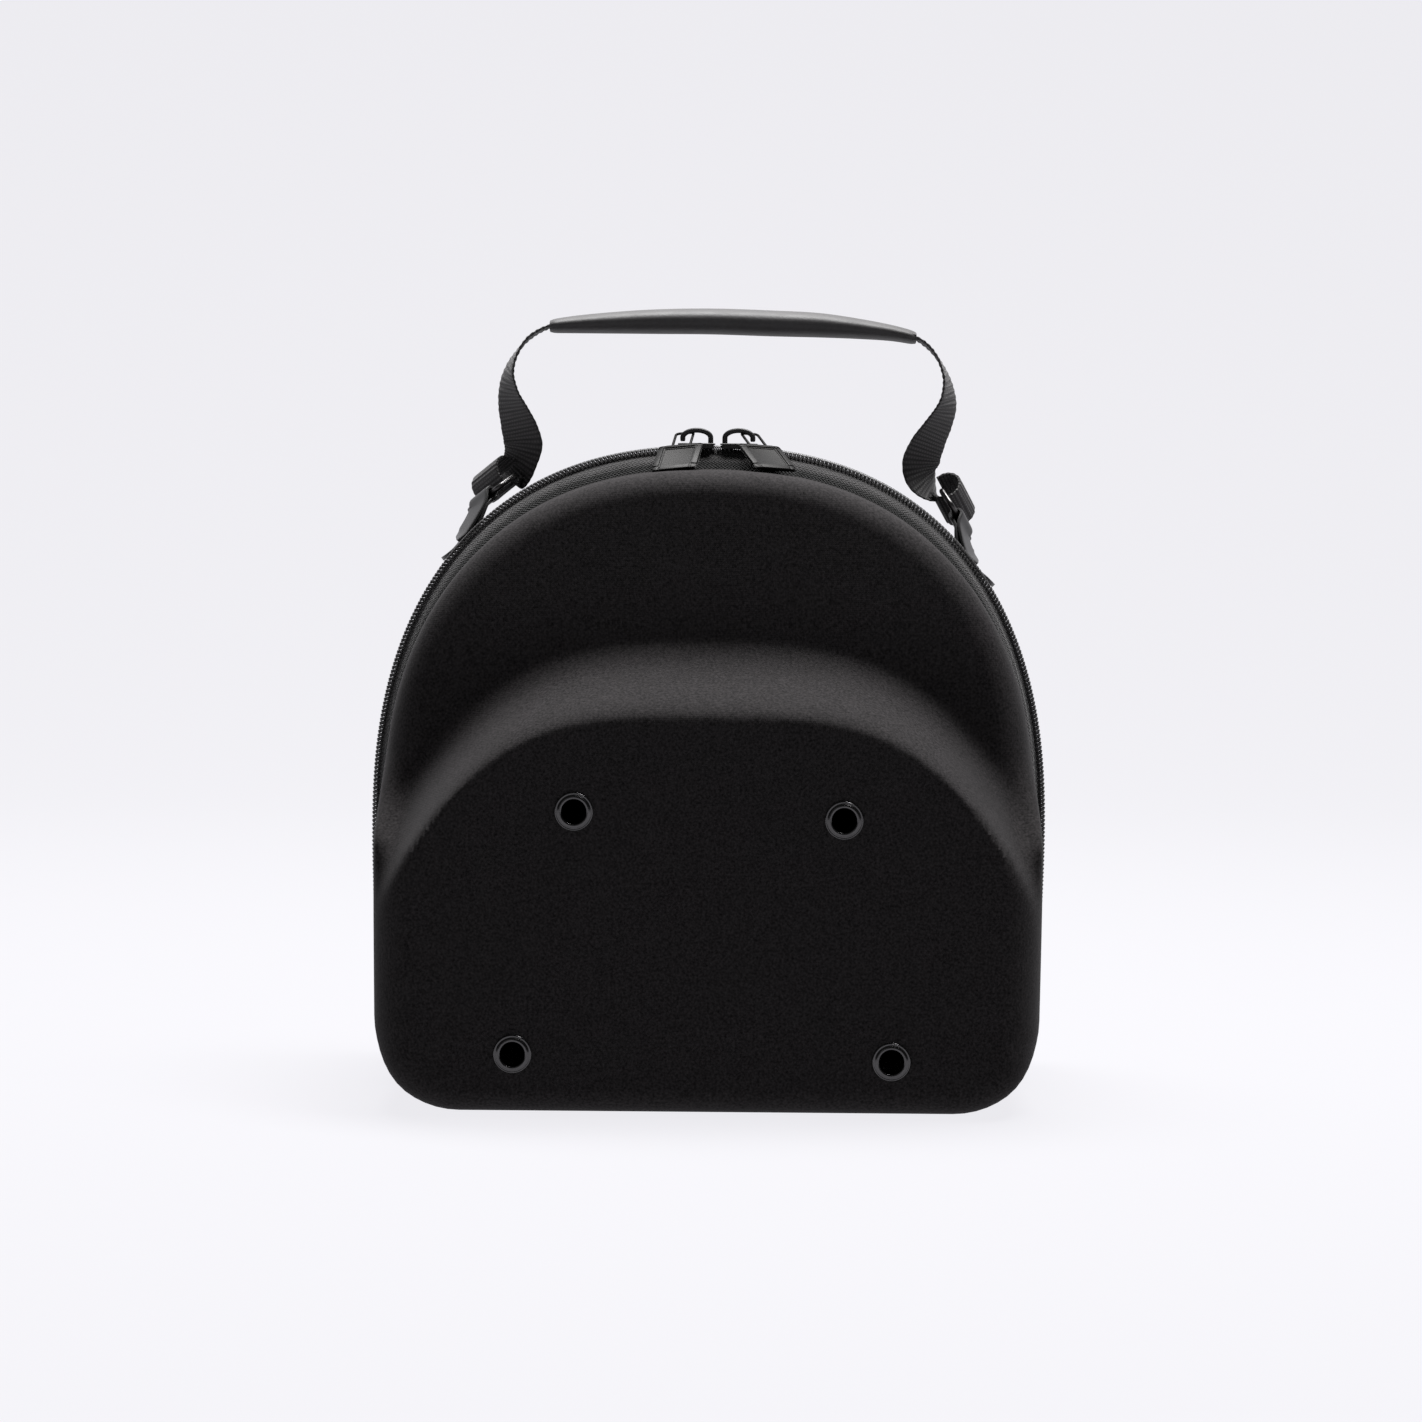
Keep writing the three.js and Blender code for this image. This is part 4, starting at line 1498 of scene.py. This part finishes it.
@dataclass
class Sliders:
    """The two sliders that meet at the top, their hooks and their flat pulls."""

    top: float = 264.3
    bottom: float = 258.1
    long: float = 15.6
    wide: float = 11.8
    plate: float = 0.7
    skirt: float = 1.8
    post: float = 1.9
    hook_rx: float = 6.9
    hook_rz: float = 6.6
    hook_wire: float = 2.2
    hook_thin: float = 0.06
    hook_wide: float = 2.4
    hook_leg: float = 2.55
    tip_gap: float = 0.8
    pull_wide: float = 18.4
    pull_long: float = 20.4
    pull_thick: float = 1.2
    border: float = 1.5
    sunk: float = 0.4
    eye_wide: float = 6.4
    eye_back: float = 2.4
    eye_front: float = 7.0
    eye_wire: float = 1.1
    pulls: tuple[PullHang, ...] = (
        PullHang(Side.LEFT, -6.3, (0.964, -0.205, 0.1), (-0.1, -0.87, -0.47)),
        PullHang(Side.RIGHT, 11.2, (0.9, 0.41, -0.06), (0.36, -0.81, -0.46)),
    )

    def hook(self, spot: PullHang) -> Piece:
        """Models the arched hook, from its fixed foot over to its free tip.

        Args:
            spot: the slider and how its pull hangs.

        Returns:
            The piece.
        """
        out = spot.side.value
        thin = self.hook_wire * (1 - self.hook_thin)
        rx, rz = self.hook_rx - self.hook_wire / 2, self.hook_rz - thin / 2 - self.hook_leg
        foot = self.top + self.plate - 0.3
        turn = np.linspace(0, math.pi, 23)
        arch = np.stack([-np.cos(turn) * rx, self.hook_leg + 0.1 + np.sin(turn) * rz], -1)
        line = np.vstack([[-rx, 0], [-rx, 0.9], [-rx, 1.9], arch, [rx, 2.0], [rx, self.tip_gap + 0.6]])
        line = np.vstack([line, [rx, self.tip_gap + 0.25]])
        ahead = unit(np.gradient(line, axis=0))
        normal = np.stack([-ahead[:, 1], ahead[:, 0]], -1)
        section = oval(16, self.hook_wide, self.hook_wire, 3.0)
        size = np.ones(len(line))
        size[3:-3] = 1 - self.hook_thin * np.sin(turn)
        size[-2:] = [0.93, 0.68]
        rings = []
        for (x, z), (nx, nz), k in zip(line, normal, size):
            ring = np.empty((16, 3))
            ring[:, 0] = spot.x + out * (x + nx * section[:, 1] * k)
            ring[:, 1] = section[:, 0]
            ring[:, 2] = foot + z + nz * section[:, 1] * k
            rings.append(ring)
        return Bench.rod("slider_hook", in_frame(np.array(rings)))

    def body(self, spot: PullHang) -> Piece:
        """Models the slider's crowned plate, side flanges, post and inner plate, with its hook.

        Args:
            spot: the slider and how its pull hangs.

        Returns:
            The piece.
        """
        out = spot.side.value
        size = (self.long, self.wide, self.plate)
        cap = Bench.block("slider_cap", size, (spot.x, 0, self.top + self.plate / 2))
        Bench.mark(cap, "polygons", lambda face: face.normal.z > 0.9)
        with Bench.editing():
            bpy.ops.mesh.inset(thickness=2.0 * MM)
            bpy.ops.transform.translate(value=(0, 0, 0.1 * MM))
        parts = [cap]
        for depth in (-1, 1):
            y = depth * (self.wide / 2 - 0.55)
            size = (self.long - 1.2, 1.1, self.skirt)
            parts.append(Bench.block("flange", size, (spot.x, y, self.top - self.skirt / 2 + 0.2)))
        low = self.bottom
        post_x = spot.x - out * (self.long / 2 - 3.4)
        size = (4, self.post, self.top - low + 0.6)
        parts.append(Bench.block("post", size, (post_x, 0, (self.top + low) / 2)))
        parts.append(Bench.block("inner", (self.long - 2, 7.6, 1.4), (spot.x, 0, low - 0.7)))
        body = Bench.join(parts, "slider_body")
        Bench.finish(body, "BEVEL", width=0.4 * MM, segments=3, limit_method="ANGLE")
        piece = Bench.join([body, self.hook(spot)], f"slider_{spot.side.word}_body")
        return Bench.soft_shade(piece, 45)

    def plate_part(self) -> Piece:
        """Models the flat plate with its raised border, about the hinge.

        Returns:
            The piece.
        """
        top = self.eye_front + self.eye_wire
        Bench.clear()
        bpy.ops.mesh.primitive_cube_add(size=1)
        plate = Bench.named("pull_plate")
        plate.scale = (self.pull_wide * MM, self.pull_long * MM, self.pull_thick * MM)
        plate.location = (0, (top + self.pull_long / 2) * MM, 0)
        bpy.ops.object.transform_apply(location=True, rotation=True, scale=True)

        def upright(edge: bpy.types.MeshEdge) -> bool:
            """Whether an edge runs through the plate's thickness."""
            a, b = (plate.data.vertices[i].co for i in edge.vertices)
            return abs(a.z - b.z) > 0.5 * self.pull_thick * MM

        Bench.mark(plate, "edges", upright)
        with Bench.editing():
            bpy.ops.mesh.bevel(offset=1.3 * MM, segments=5)
        Bench.mark(plate, "polygons", lambda face: abs(face.normal.z) > 0.9)
        with Bench.editing():
            bpy.ops.mesh.inset(thickness=self.border * MM, use_individual=True)
            bpy.ops.mesh.inset(thickness=0.25 * MM, depth=-self.sunk * MM, use_individual=True)
        Bench.finish(plate, "BEVEL", width=0.16 * MM, segments=2, limit_method="ANGLE")
        return plate

    def eye_part(self) -> Piece:
        """Models the wire eye at the head of the plate, about the hinge.

        Returns:
            The piece.
        """
        half = self.eye_wide / 2 + self.eye_wire / 2
        back, front = -self.eye_back - self.eye_wire / 2, self.eye_front + self.eye_wire
        turn_in = 1.3
        line = []
        for cx, cy, start in ((half, front, 0), (-half, front, 90), (-half, back, 180), (half, back, 270)):
            mx, my = cx - math.copysign(turn_in, cx), cy - math.copysign(turn_in, cy)
            for k in range(7):
                turn = math.radians(start + 15 * k)
                c, s = math.cos(turn), math.sin(turn)
                line.append([mx + turn_in * c, my + turn_in * s, c, s])
        section = oval(10, self.eye_wire, self.pull_thick - 0.2, 2.6)
        rings = [
            [[x + cx * a, y + cy * a, b] for a, b in section]
            for x, y, cx, cy in line
        ]
        return Bench.hoop("pull_eye", np.array(rings) * MM)

    def pull(self, spot: PullHang) -> Piece:
        """Models one pull and turns it to hang as it does.

        Args:
            spot: the slider and how its pull hangs.

        Returns:
            The piece.
        """
        piece = Bench.join([self.plate_part(), self.eye_part()], f"pull_{spot.side.word}_plate")
        along = Vector(spot.axis).normalized()
        hang = Vector(spot.hang)
        hang = (hang - along * hang.dot(along)).normalized()
        face = along.cross(hang)
        hinge = in_frame(
            np.array([
                spot.x + spot.side.value * (self.hook_rx - self.hook_wire / 2 - 0.5), 0,
                self.top + self.plate + self.hook_leg + 0.15,
            ])
        )
        turn = Matrix((along, hang, face)).transposed().to_4x4()
        piece.data.transform(Matrix.Translation(hinge) @ turn)
        return Bench.soft_shade(piece, 40)

    def dress(self, finishes: Finishes) -> None:
        """Builds and ties on the sliders and pulls.

        Args:
            finishes: the object's finishes.
        """
        for spot in self.pulls:
            word = spot.side.word
            hand_over(self.body(spot), finishes.slider, (f"slider_{word}",))
            hand_over(self.pull(spot), finishes.pull, (f"pull_{word}",), f"pull_{word}")


@dataclass(frozen=True)
class StrapSide:
    """One side of the handle: its ring, its tab and the strap's way up to the grip, in mm."""

    side: Side
    slope: float
    skew: float
    loop: Triple
    stations: tuple[tuple[float, float, float, float], ...]
    flap: tuple[Triple, ...]
    tab: tuple[Triple, ...]

    def across(self, turn: float) -> np.ndarray:
        """Direction of the strap's width, turned from the depth axis towards the middle."""
        a = math.radians(turn)
        return np.array([-self.side.value * math.sin(a), -math.cos(a), 0.0])


@dataclass(frozen=True)
class RingAxes:
    """Places and directions at one ring."""

    out: np.ndarray
    bar: np.ndarray
    down: np.ndarray
    top_bar: np.ndarray
    low_bar: np.ndarray


@dataclass
class Handle:
    """The handle: webbing, grip sleeve, two wire rings and the tabs that hold them."""

    outline: CaseOutline
    strap_wide: float = 20.0
    strap_thick: float = 1.6
    strap_loop: float = 6.3
    rib: float = 2.5
    rib_high: float = 0.16
    ring_bar: float = 25.0
    ring_tall: float = 11.0
    ring_wire: float = 1.2
    ring_corner: float = 2.4
    tab_wide: float = 14.0
    tab_thick: float = 1.6
    tab_eye: float = 2.5
    tab_run: float = 4.5
    tab_drift: float = 5.5
    grip_depth: float = 26.0
    slot_wide: float = 22.0
    slot_thick: float = 3.2
    sides: tuple[StrapSide, ...] = (
        StrapSide(
            Side.LEFT, 37.5, 45, (-91.0, 33, 249.0),
            (
                (-81.3, 33, 257.4, 47), (-80.1, 32, 264.2, 57), (-81.8, 31, 271.4, 52),
                (-84.3, 30, 278.9, 40), (-86.0, 29, 286.1, 26), (-85.8, 28, 294.2, 14),
                (-82.6, 27, 302.2, 6), (-76.8, 26.4, 309.2, 0),
            ),
            ((-105.2, 2.1, 9), (-102.2, 2.4, 20)),
            ((-100.6, 1.0, 26), (-103.4, 0.2, 14), (-106.4, 0.2, 4), (-109.2, 0.6, 0), (-111.6, 1.8, 0)),
        ),
        StrapSide(
            Side.RIGHT, 59.0, 45, (102.4, 33, 242.2),
            (
                (89.2, 33, 252.2, 47), (88.9, 32, 258.4, 55), (91.7, 31, 265.9, 50),
                (95.5, 30, 273.0, 40), (98.5, 29, 279.8, 29), (99.5, 28, 286.3, 18),
                (98.6, 27.4, 293.5, 10), (95.1, 27, 301.2, 4), (90.2, 26.4, 306.9, 0),
            ),
            ((111.0, 1.3, 8), (107.6, 1.4, 18)),
            ((106.2, -0.4, 22), (109.2, -0.8, 12), (112.2, -0.6, 4), (115.0, 0.6, 0), (117.6, 1.8, 0)),
        ),
    )
    grip: tuple[tuple[float, float, float, float], ...] = (
        (-68.4, 313.6, 5.6, 24.0), (-60.0, 314.3, 7.0, 25.4), (-46.0, 315.1, 8.6, 27.0),
        (-25.0, 315.9, 10.2, 28.2), (0.0, 316.2, 10.8, 28.6), (25.0, 315.6, 10.8, 28.6),
        (45.0, 315.0, 10.2, 28.0), (62.0, 313.6, 8.4, 26.8), (76.0, 311.9, 6.6, 25.2),
        (85.3, 310.0, 5.6, 24.0),
    )

    def axes(self, side: StrapSide) -> RingAxes:
        """Directions and bars of one ring.

        Args:
            side: which side of the handle.

        Returns:
            The ring's directions and bars.
        """
        slope, skew = math.radians(side.slope), math.radians(side.skew)
        out_x = side.side.value
        up = np.array([-out_x * math.cos(slope), 0, math.sin(slope)])
        out = np.array([out_x * math.sin(slope), 0, math.cos(slope)])
        forward = np.array([0, -1.0, 0])
        bar = forward * math.cos(skew) + up * math.sin(skew)
        down = -up * math.cos(skew) + forward * math.sin(skew)
        drop = self.strap_loop - self.strap_thick / 2 - self.ring_wire - 0.3
        sag = unit(np.array([0, 0, 1.0]) - bar * bar[2])
        top_bar = np.array(side.loop) - sag * drop
        return RingAxes(out, bar, down, top_bar, top_bar + down * self.ring_tall)

    def swept(
        self,
        stations: np.ndarray,
        across: np.ndarray,
        section: np.ndarray,
        step: float,
        rib_high: float = 0.0,
        narrow: float = 0.0,
    ) -> tuple[np.ndarray, np.ndarray]:
        """Sweeps a flat section along stations.

        Args:
            stations: the places it passes, in mm.
            across: the direction of its width at each place.
            section: its points as width and thickness.
            step: length of a step, in mm.
            rib_high: height of the cross ribs.
            narrow: length over which the far end is rounded off.

        Returns:
            Places as ring, point, axis in metres, and their lay along and across the cloth.
        """
        spans = np.linalg.norm(np.diff(stations, axis=0), axis=1)
        line, where = flowing(stations, [max(2, int(round(s / step))) for s in spans])
        tangent = unit(np.gradient(line, axis=0))
        k = np.clip(where.astype(int), 0, len(stations) - 2)
        width = mix(across[k], across[k + 1], (where - k)[:, None])
        width = unit(width - tangent * (width * tangent).sum(1, keepdims=True))
        normal = np.cross(tangent, width)
        along = run_length(line)
        rise = 1 + rib_high / section[:, 1].max() * np.sin(2 * math.pi * along / self.rib)
        slim = np.ones(len(line))
        if narrow:
            past = np.clip((along - along[-1] + narrow) / narrow, 0, 0.985)
            slim = np.sqrt(1 - past**2)
        rings = (
            line[:, None]
            + width[:, None] * (section[None, :, :1] * slim[:, None, None])
            + normal[:, None] * (section[None, :, 1:] * rise[:, None, None])
        )
        lay = np.empty((len(line), len(section), 2))
        lay[..., 0] = along[:, None] * MM
        lay[..., 1] = section[None, :, 0] * MM
        return in_frame(rings), lay

    def strap_way(self, side: StrapSide) -> tuple[np.ndarray, np.ndarray]:
        """Stations of one side, from the sewn tip round the ring bar and up to the grip.

        Args:
            side: which side of the handle.

        Returns:
            The stations, and the direction of the strap's width at each.
        """
        axes = self.axes(side)
        meet = np.array([-side.side.value, 0, 0.0])
        back = -axes.down
        first = math.atan2(meet @ axes.out, meet @ back)
        turns = first + np.radians(np.linspace(54, 360, 11))
        loop = [
            np.array(side.loop) + self.strap_loop * (back * math.cos(t) + axes.out * math.sin(t))
            for t in turns
        ]
        rows = [np.array(row[:3]) for row in side.stations]
        across = [axes.bar] * len(loop) + [side.across(row[3]) for row in side.stations]
        return np.array(loop + rows), np.array(across)

    def webbing(self) -> Piece:
        """Models the strap as one ribbed strip through the grip.

        Returns:
            The piece.
        """
        left, left_across = self.strap_way(self.sides[0])
        right, right_across = self.strap_way(self.sides[1])
        through = np.array([[x, self.grip_depth, z] for x, z, _, _ in self.grip])
        flat = np.tile([0, -1.0, 0], (len(through), 1))
        stations = np.vstack([left, through, right[::-1]])
        across = np.vstack([left_across, flat, right_across[::-1]])
        section = oval(20, self.strap_wide, self.strap_thick - 2 * self.rib_high, 7.0)
        rings, lay = self.swept(stations, across, section, 0.55, self.rib_high)
        piece = Bench.rod("handle_strap_webbing", rings, lay)
        return Bench.soft_shade(piece, 60)

    def ring(self, side: StrapSide) -> Piece:
        """Models one wire ring with rounded corners.

        Args:
            side: which side of the handle.

        Returns:
            The piece.
        """
        axes = self.axes(side)
        half, turn_in = self.ring_bar / 2, self.ring_corner
        tall = self.ring_tall
        corners = ((half, 0.0, 270), (half, tall, 0), (-half, tall, 90), (-half, 0.0, 180))
        rings = []
        for a, b, start in corners:
            ca = a - math.copysign(turn_in, a)
            cb = turn_in if b == 0 else tall - turn_in
            for k in range(9):
                turn = math.radians(start + 90 * k / 8)
                c, s = math.cos(turn), math.sin(turn)
                at = axes.top_bar + axes.bar * (ca + turn_in * c) + axes.down * (cb + turn_in * s)
                outward = axes.bar * c + axes.down * s
                spin = 2 * math.pi * np.arange(18) / 18
                rings.append(
                    at
                    + outward * (self.ring_wire * np.cos(spin))[:, None]
                    + axes.out * (self.ring_wire * np.sin(spin))[:, None]
                )
        piece = Bench.hoop(f"strap_ring_{side.side.word}_wire", in_frame(np.array(rings)))
        return Bench.soft_shade(piece, 60)

    def tab_spot(self, side: StrapSide, x: float, off: float) -> np.ndarray:
        """A place on the line that the tab follows beside the zip, lifted off it.

        Args:
            side: which side of the handle.
            x: the place across the case.
            off: how far it is lifted, in mm.

        Returns:
            The place, in mm.
        """
        near, far = (self.outline.arch_height(abs(x) + d) for d in (-0.5, 0.5))
        normal = unit(np.array([-(far - near) * side.side.value, 0, 1.0]))
        depth = self.axes(side).low_bar[1] - self.tab_drift
        return np.array([x, depth, self.outline.arch_height(x)]) + normal * off

    def tab(self, side: StrapSide) -> Piece:
        """Models one tab, its short flap folded round the ring's lower bar onto its long end.

        Args:
            side: which side of the handle.

        Returns:
            The piece.
        """
        axes = self.axes(side)
        below = axes.low_bar + axes.down * self.tab_run
        places = [self.tab_spot(side, x, off) for x, off, _ in side.flap]
        across = [side.across(turn) for _, _, turn in side.flap]
        places.append(below + axes.out * (self.tab_thick + 0.3 - self.tab_eye))
        for turn in np.radians(np.linspace(60, 270, 8)):
            round_bar = axes.down * math.cos(turn) + axes.out * math.sin(turn)
            places.append(axes.low_bar + self.tab_eye * round_bar)
        places.append(below - axes.out * self.tab_eye)
        across += [axes.bar] * 10
        places += [self.tab_spot(side, x, off) for x, off, _ in side.tab]
        across += [side.across(turn) for _, _, turn in side.tab]
        section = oval(20, self.tab_wide, self.tab_thick, 6.0)
        rings, lay = self.swept(np.array(places), np.array(across), section, 0.9, 0.0, 5.0)
        piece = Bench.rod(f"ring_tab_{side.side.word}_leather", rings, lay)
        return Bench.soft_shade(piece, 50)

    def sleeve(self) -> Piece:
        """Models the padded sleeve with its slot, as one closed form.

        Returns:
            The piece.
        """
        table = np.array(self.grip)
        rows, _ = flowing(table, [6] * (len(table) - 1))
        around = 48
        ends = np.minimum(np.arange(len(rows)), np.arange(len(rows))[::-1])
        pinch = np.where(ends == 0, 0.86, np.where(ends == 1, 0.97, 1.0))
        outer = np.array([
            np.c_[np.full(around, x), self.grip_depth + o[:, 0], z + o[:, 1]]
            for (x, z, thick, wide), k in zip(rows, pinch)
            for o in [oval(around, wide * k, thick * k, 2.5)]
        ])
        slot = oval(around, self.slot_wide, self.slot_thick, 9.0)
        inner = np.array([
            np.c_[np.full(around, x), self.grip_depth + slot[:, 0], z + slot[:, 1]]
            for x, z, _, _ in rows[::-4]
        ])
        loops = np.moveaxis(np.concatenate([outer, inner]), 0, 1)
        piece = Bench.hoop("handle_grip_sleeve", in_frame(loops))
        return Bench.soft_shade(piece, 50)

    def dress(self, finishes: Finishes) -> None:
        """Builds and ties on the handle.

        Args:
            finishes: the object's finishes.
        """
        strap = hand_over(self.webbing(), finishes.webbing, ("handle_strap",))
        grip = hand_over(self.sleeve(), finishes.grip, ("handle_grip",))
        for side in self.sides:
            word = side.side.word
            hand_over(self.ring(side), finishes.ring, (f"strap_ring_{word}",))
            hand_over(self.tab(side), finishes.tab, (f"ring_tab_{word}",))


@dataclass
class Studio:
    """Pale floor and backdrop, soft light and the camera."""

    pale: Triple = (0.885, 0.877, 0.915)
    target: Triple = (0.0006, 0.0212, 0.1535)
    distance: float = 1.6
    elevation: float = 4.0
    roll: float = 0.5
    lens: float = 97.0

    def floor(self) -> None:
        """Lays the floor and its curved backdrop."""
        Bench.clear()
        bpy.ops.mesh.primitive_plane_add(size=1)
        floor = Bench.named("studio_floor")
        floor.scale = (20, 12.4, 1)
        floor.location = (0, -3.8, -0.0004)
        bpy.ops.object.transform_apply(location=True, rotation=True, scale=True)
        for edge in floor.data.edges:
            edge.select = all(floor.data.vertices[i].co.y > 2 for i in edge.vertices)
        for vertex in floor.data.vertices:
            vertex.select = vertex.co.y > 2
        for face in floor.data.polygons:
            face.select = False
        bpy.ops.object.mode_set(mode="EDIT")
        bpy.ops.mesh.extrude_edges_move(TRANSFORM_OT_translate={"value": (0, 0, 4)})
        bpy.ops.mesh.select_all(action="DESELECT")
        bpy.ops.object.mode_set(mode="OBJECT")
        for edge in floor.data.edges:
            edge.select = all(
                floor.data.vertices[i].co.y > 2 and floor.data.vertices[i].co.z < 1 for i in edge.vertices
            )
        bpy.ops.object.mode_set(mode="EDIT")
        bpy.ops.mesh.bevel(offset=1.2, segments=16)
        bpy.ops.object.mode_set(mode="OBJECT")
        Bench.soft_shade(floor, 40)
        kit = Dresser("studio_pale")
        kit.done(
            Base_Color=(0.035, 0.035, 0.036),
            Roughness=0.9,
            Specular_IOR_Level=0.0,
            Emission_Color=self.pale,
            Emission_Strength=0.93,
        )
        floor.data.materials.append(kit.material)

    def light(
        self,
        name: str,
        at: Triple,
        aim: Triple,
        size: tuple[float, float],
        power: float,
    ) -> None:
        """Hangs one soft rectangular light.

        Args:
            name: its name.
            at: its place.
            aim: the place that it points to.
            size: width and height.
            power: watts.
        """
        Bench.clear()
        bpy.ops.object.light_add(type="AREA", location=at)
        lamp = bpy.context.active_object
        lamp.name = name
        lamp.data.shape = "RECTANGLE"
        lamp.data.size, lamp.data.size_y = size
        lamp.data.energy = power
        lamp.rotation_mode = "QUATERNION"
        lamp.rotation_quaternion = (Vector(aim) - Vector(at)).to_track_quat("-Z", "Y")

    def camera(self) -> None:
        """Stands the camera at the photograph's place."""
        Bench.clear()
        bpy.ops.object.camera_add()
        camera = bpy.context.active_object
        camera.name = "photo_camera"
        rise = math.radians(self.elevation)
        back = Vector((0, -math.cos(rise), math.sin(rise)))
        camera.location = Vector(self.target) + back * self.distance
        turn = (-back).to_track_quat("-Z", "Y").to_matrix() @ Matrix.Rotation(math.radians(self.roll), 3, "Z")
        camera.rotation_euler = turn.to_euler()
        camera.data.lens = self.lens
        camera.data.sensor_width = 36
        bpy.context.scene.camera = camera

    def set_up(self) -> None:
        """Sets floor, light and camera."""
        scene = bpy.context.scene
        scene.view_settings.view_transform = "Standard"
        world = bpy.data.worlds.new("studio_air")
        world.use_nodes = True
        world.node_tree.nodes["Background"].inputs["Color"].default_value = (0.9, 0.9, 0.92, 1)
        world.node_tree.nodes["Background"].inputs["Strength"].default_value = 0.06
        scene.world = world
        self.floor()
        self.light("top_softbox", (0.12, 0.26, 1.5), (0, 0.0, 0.15), (1.4, 0.5), 100)
        self.light("front_softbox", (-0.7, -1.9, 0.9), (0, 0, 0.14), (1.2, 1.2), 1)
        self.camera()


def main() -> None:
    """Builds the studio and every piece in order."""
    logging.basicConfig(level=logging.INFO, format="%(name)s %(message)s")
    finishes = Finishes()
    outline = CaseOutline()
    vents = Vents()
    Studio().set_up()
    Shells(outline, vents).dress(finishes)
    vents.dress(finishes)
    ZipLine(outline).dress(finishes)
    Sliders().dress(finishes)
    Handle(outline).dress(finishes)
    Bench.clear()


if __name__ == "__main__":
    main()
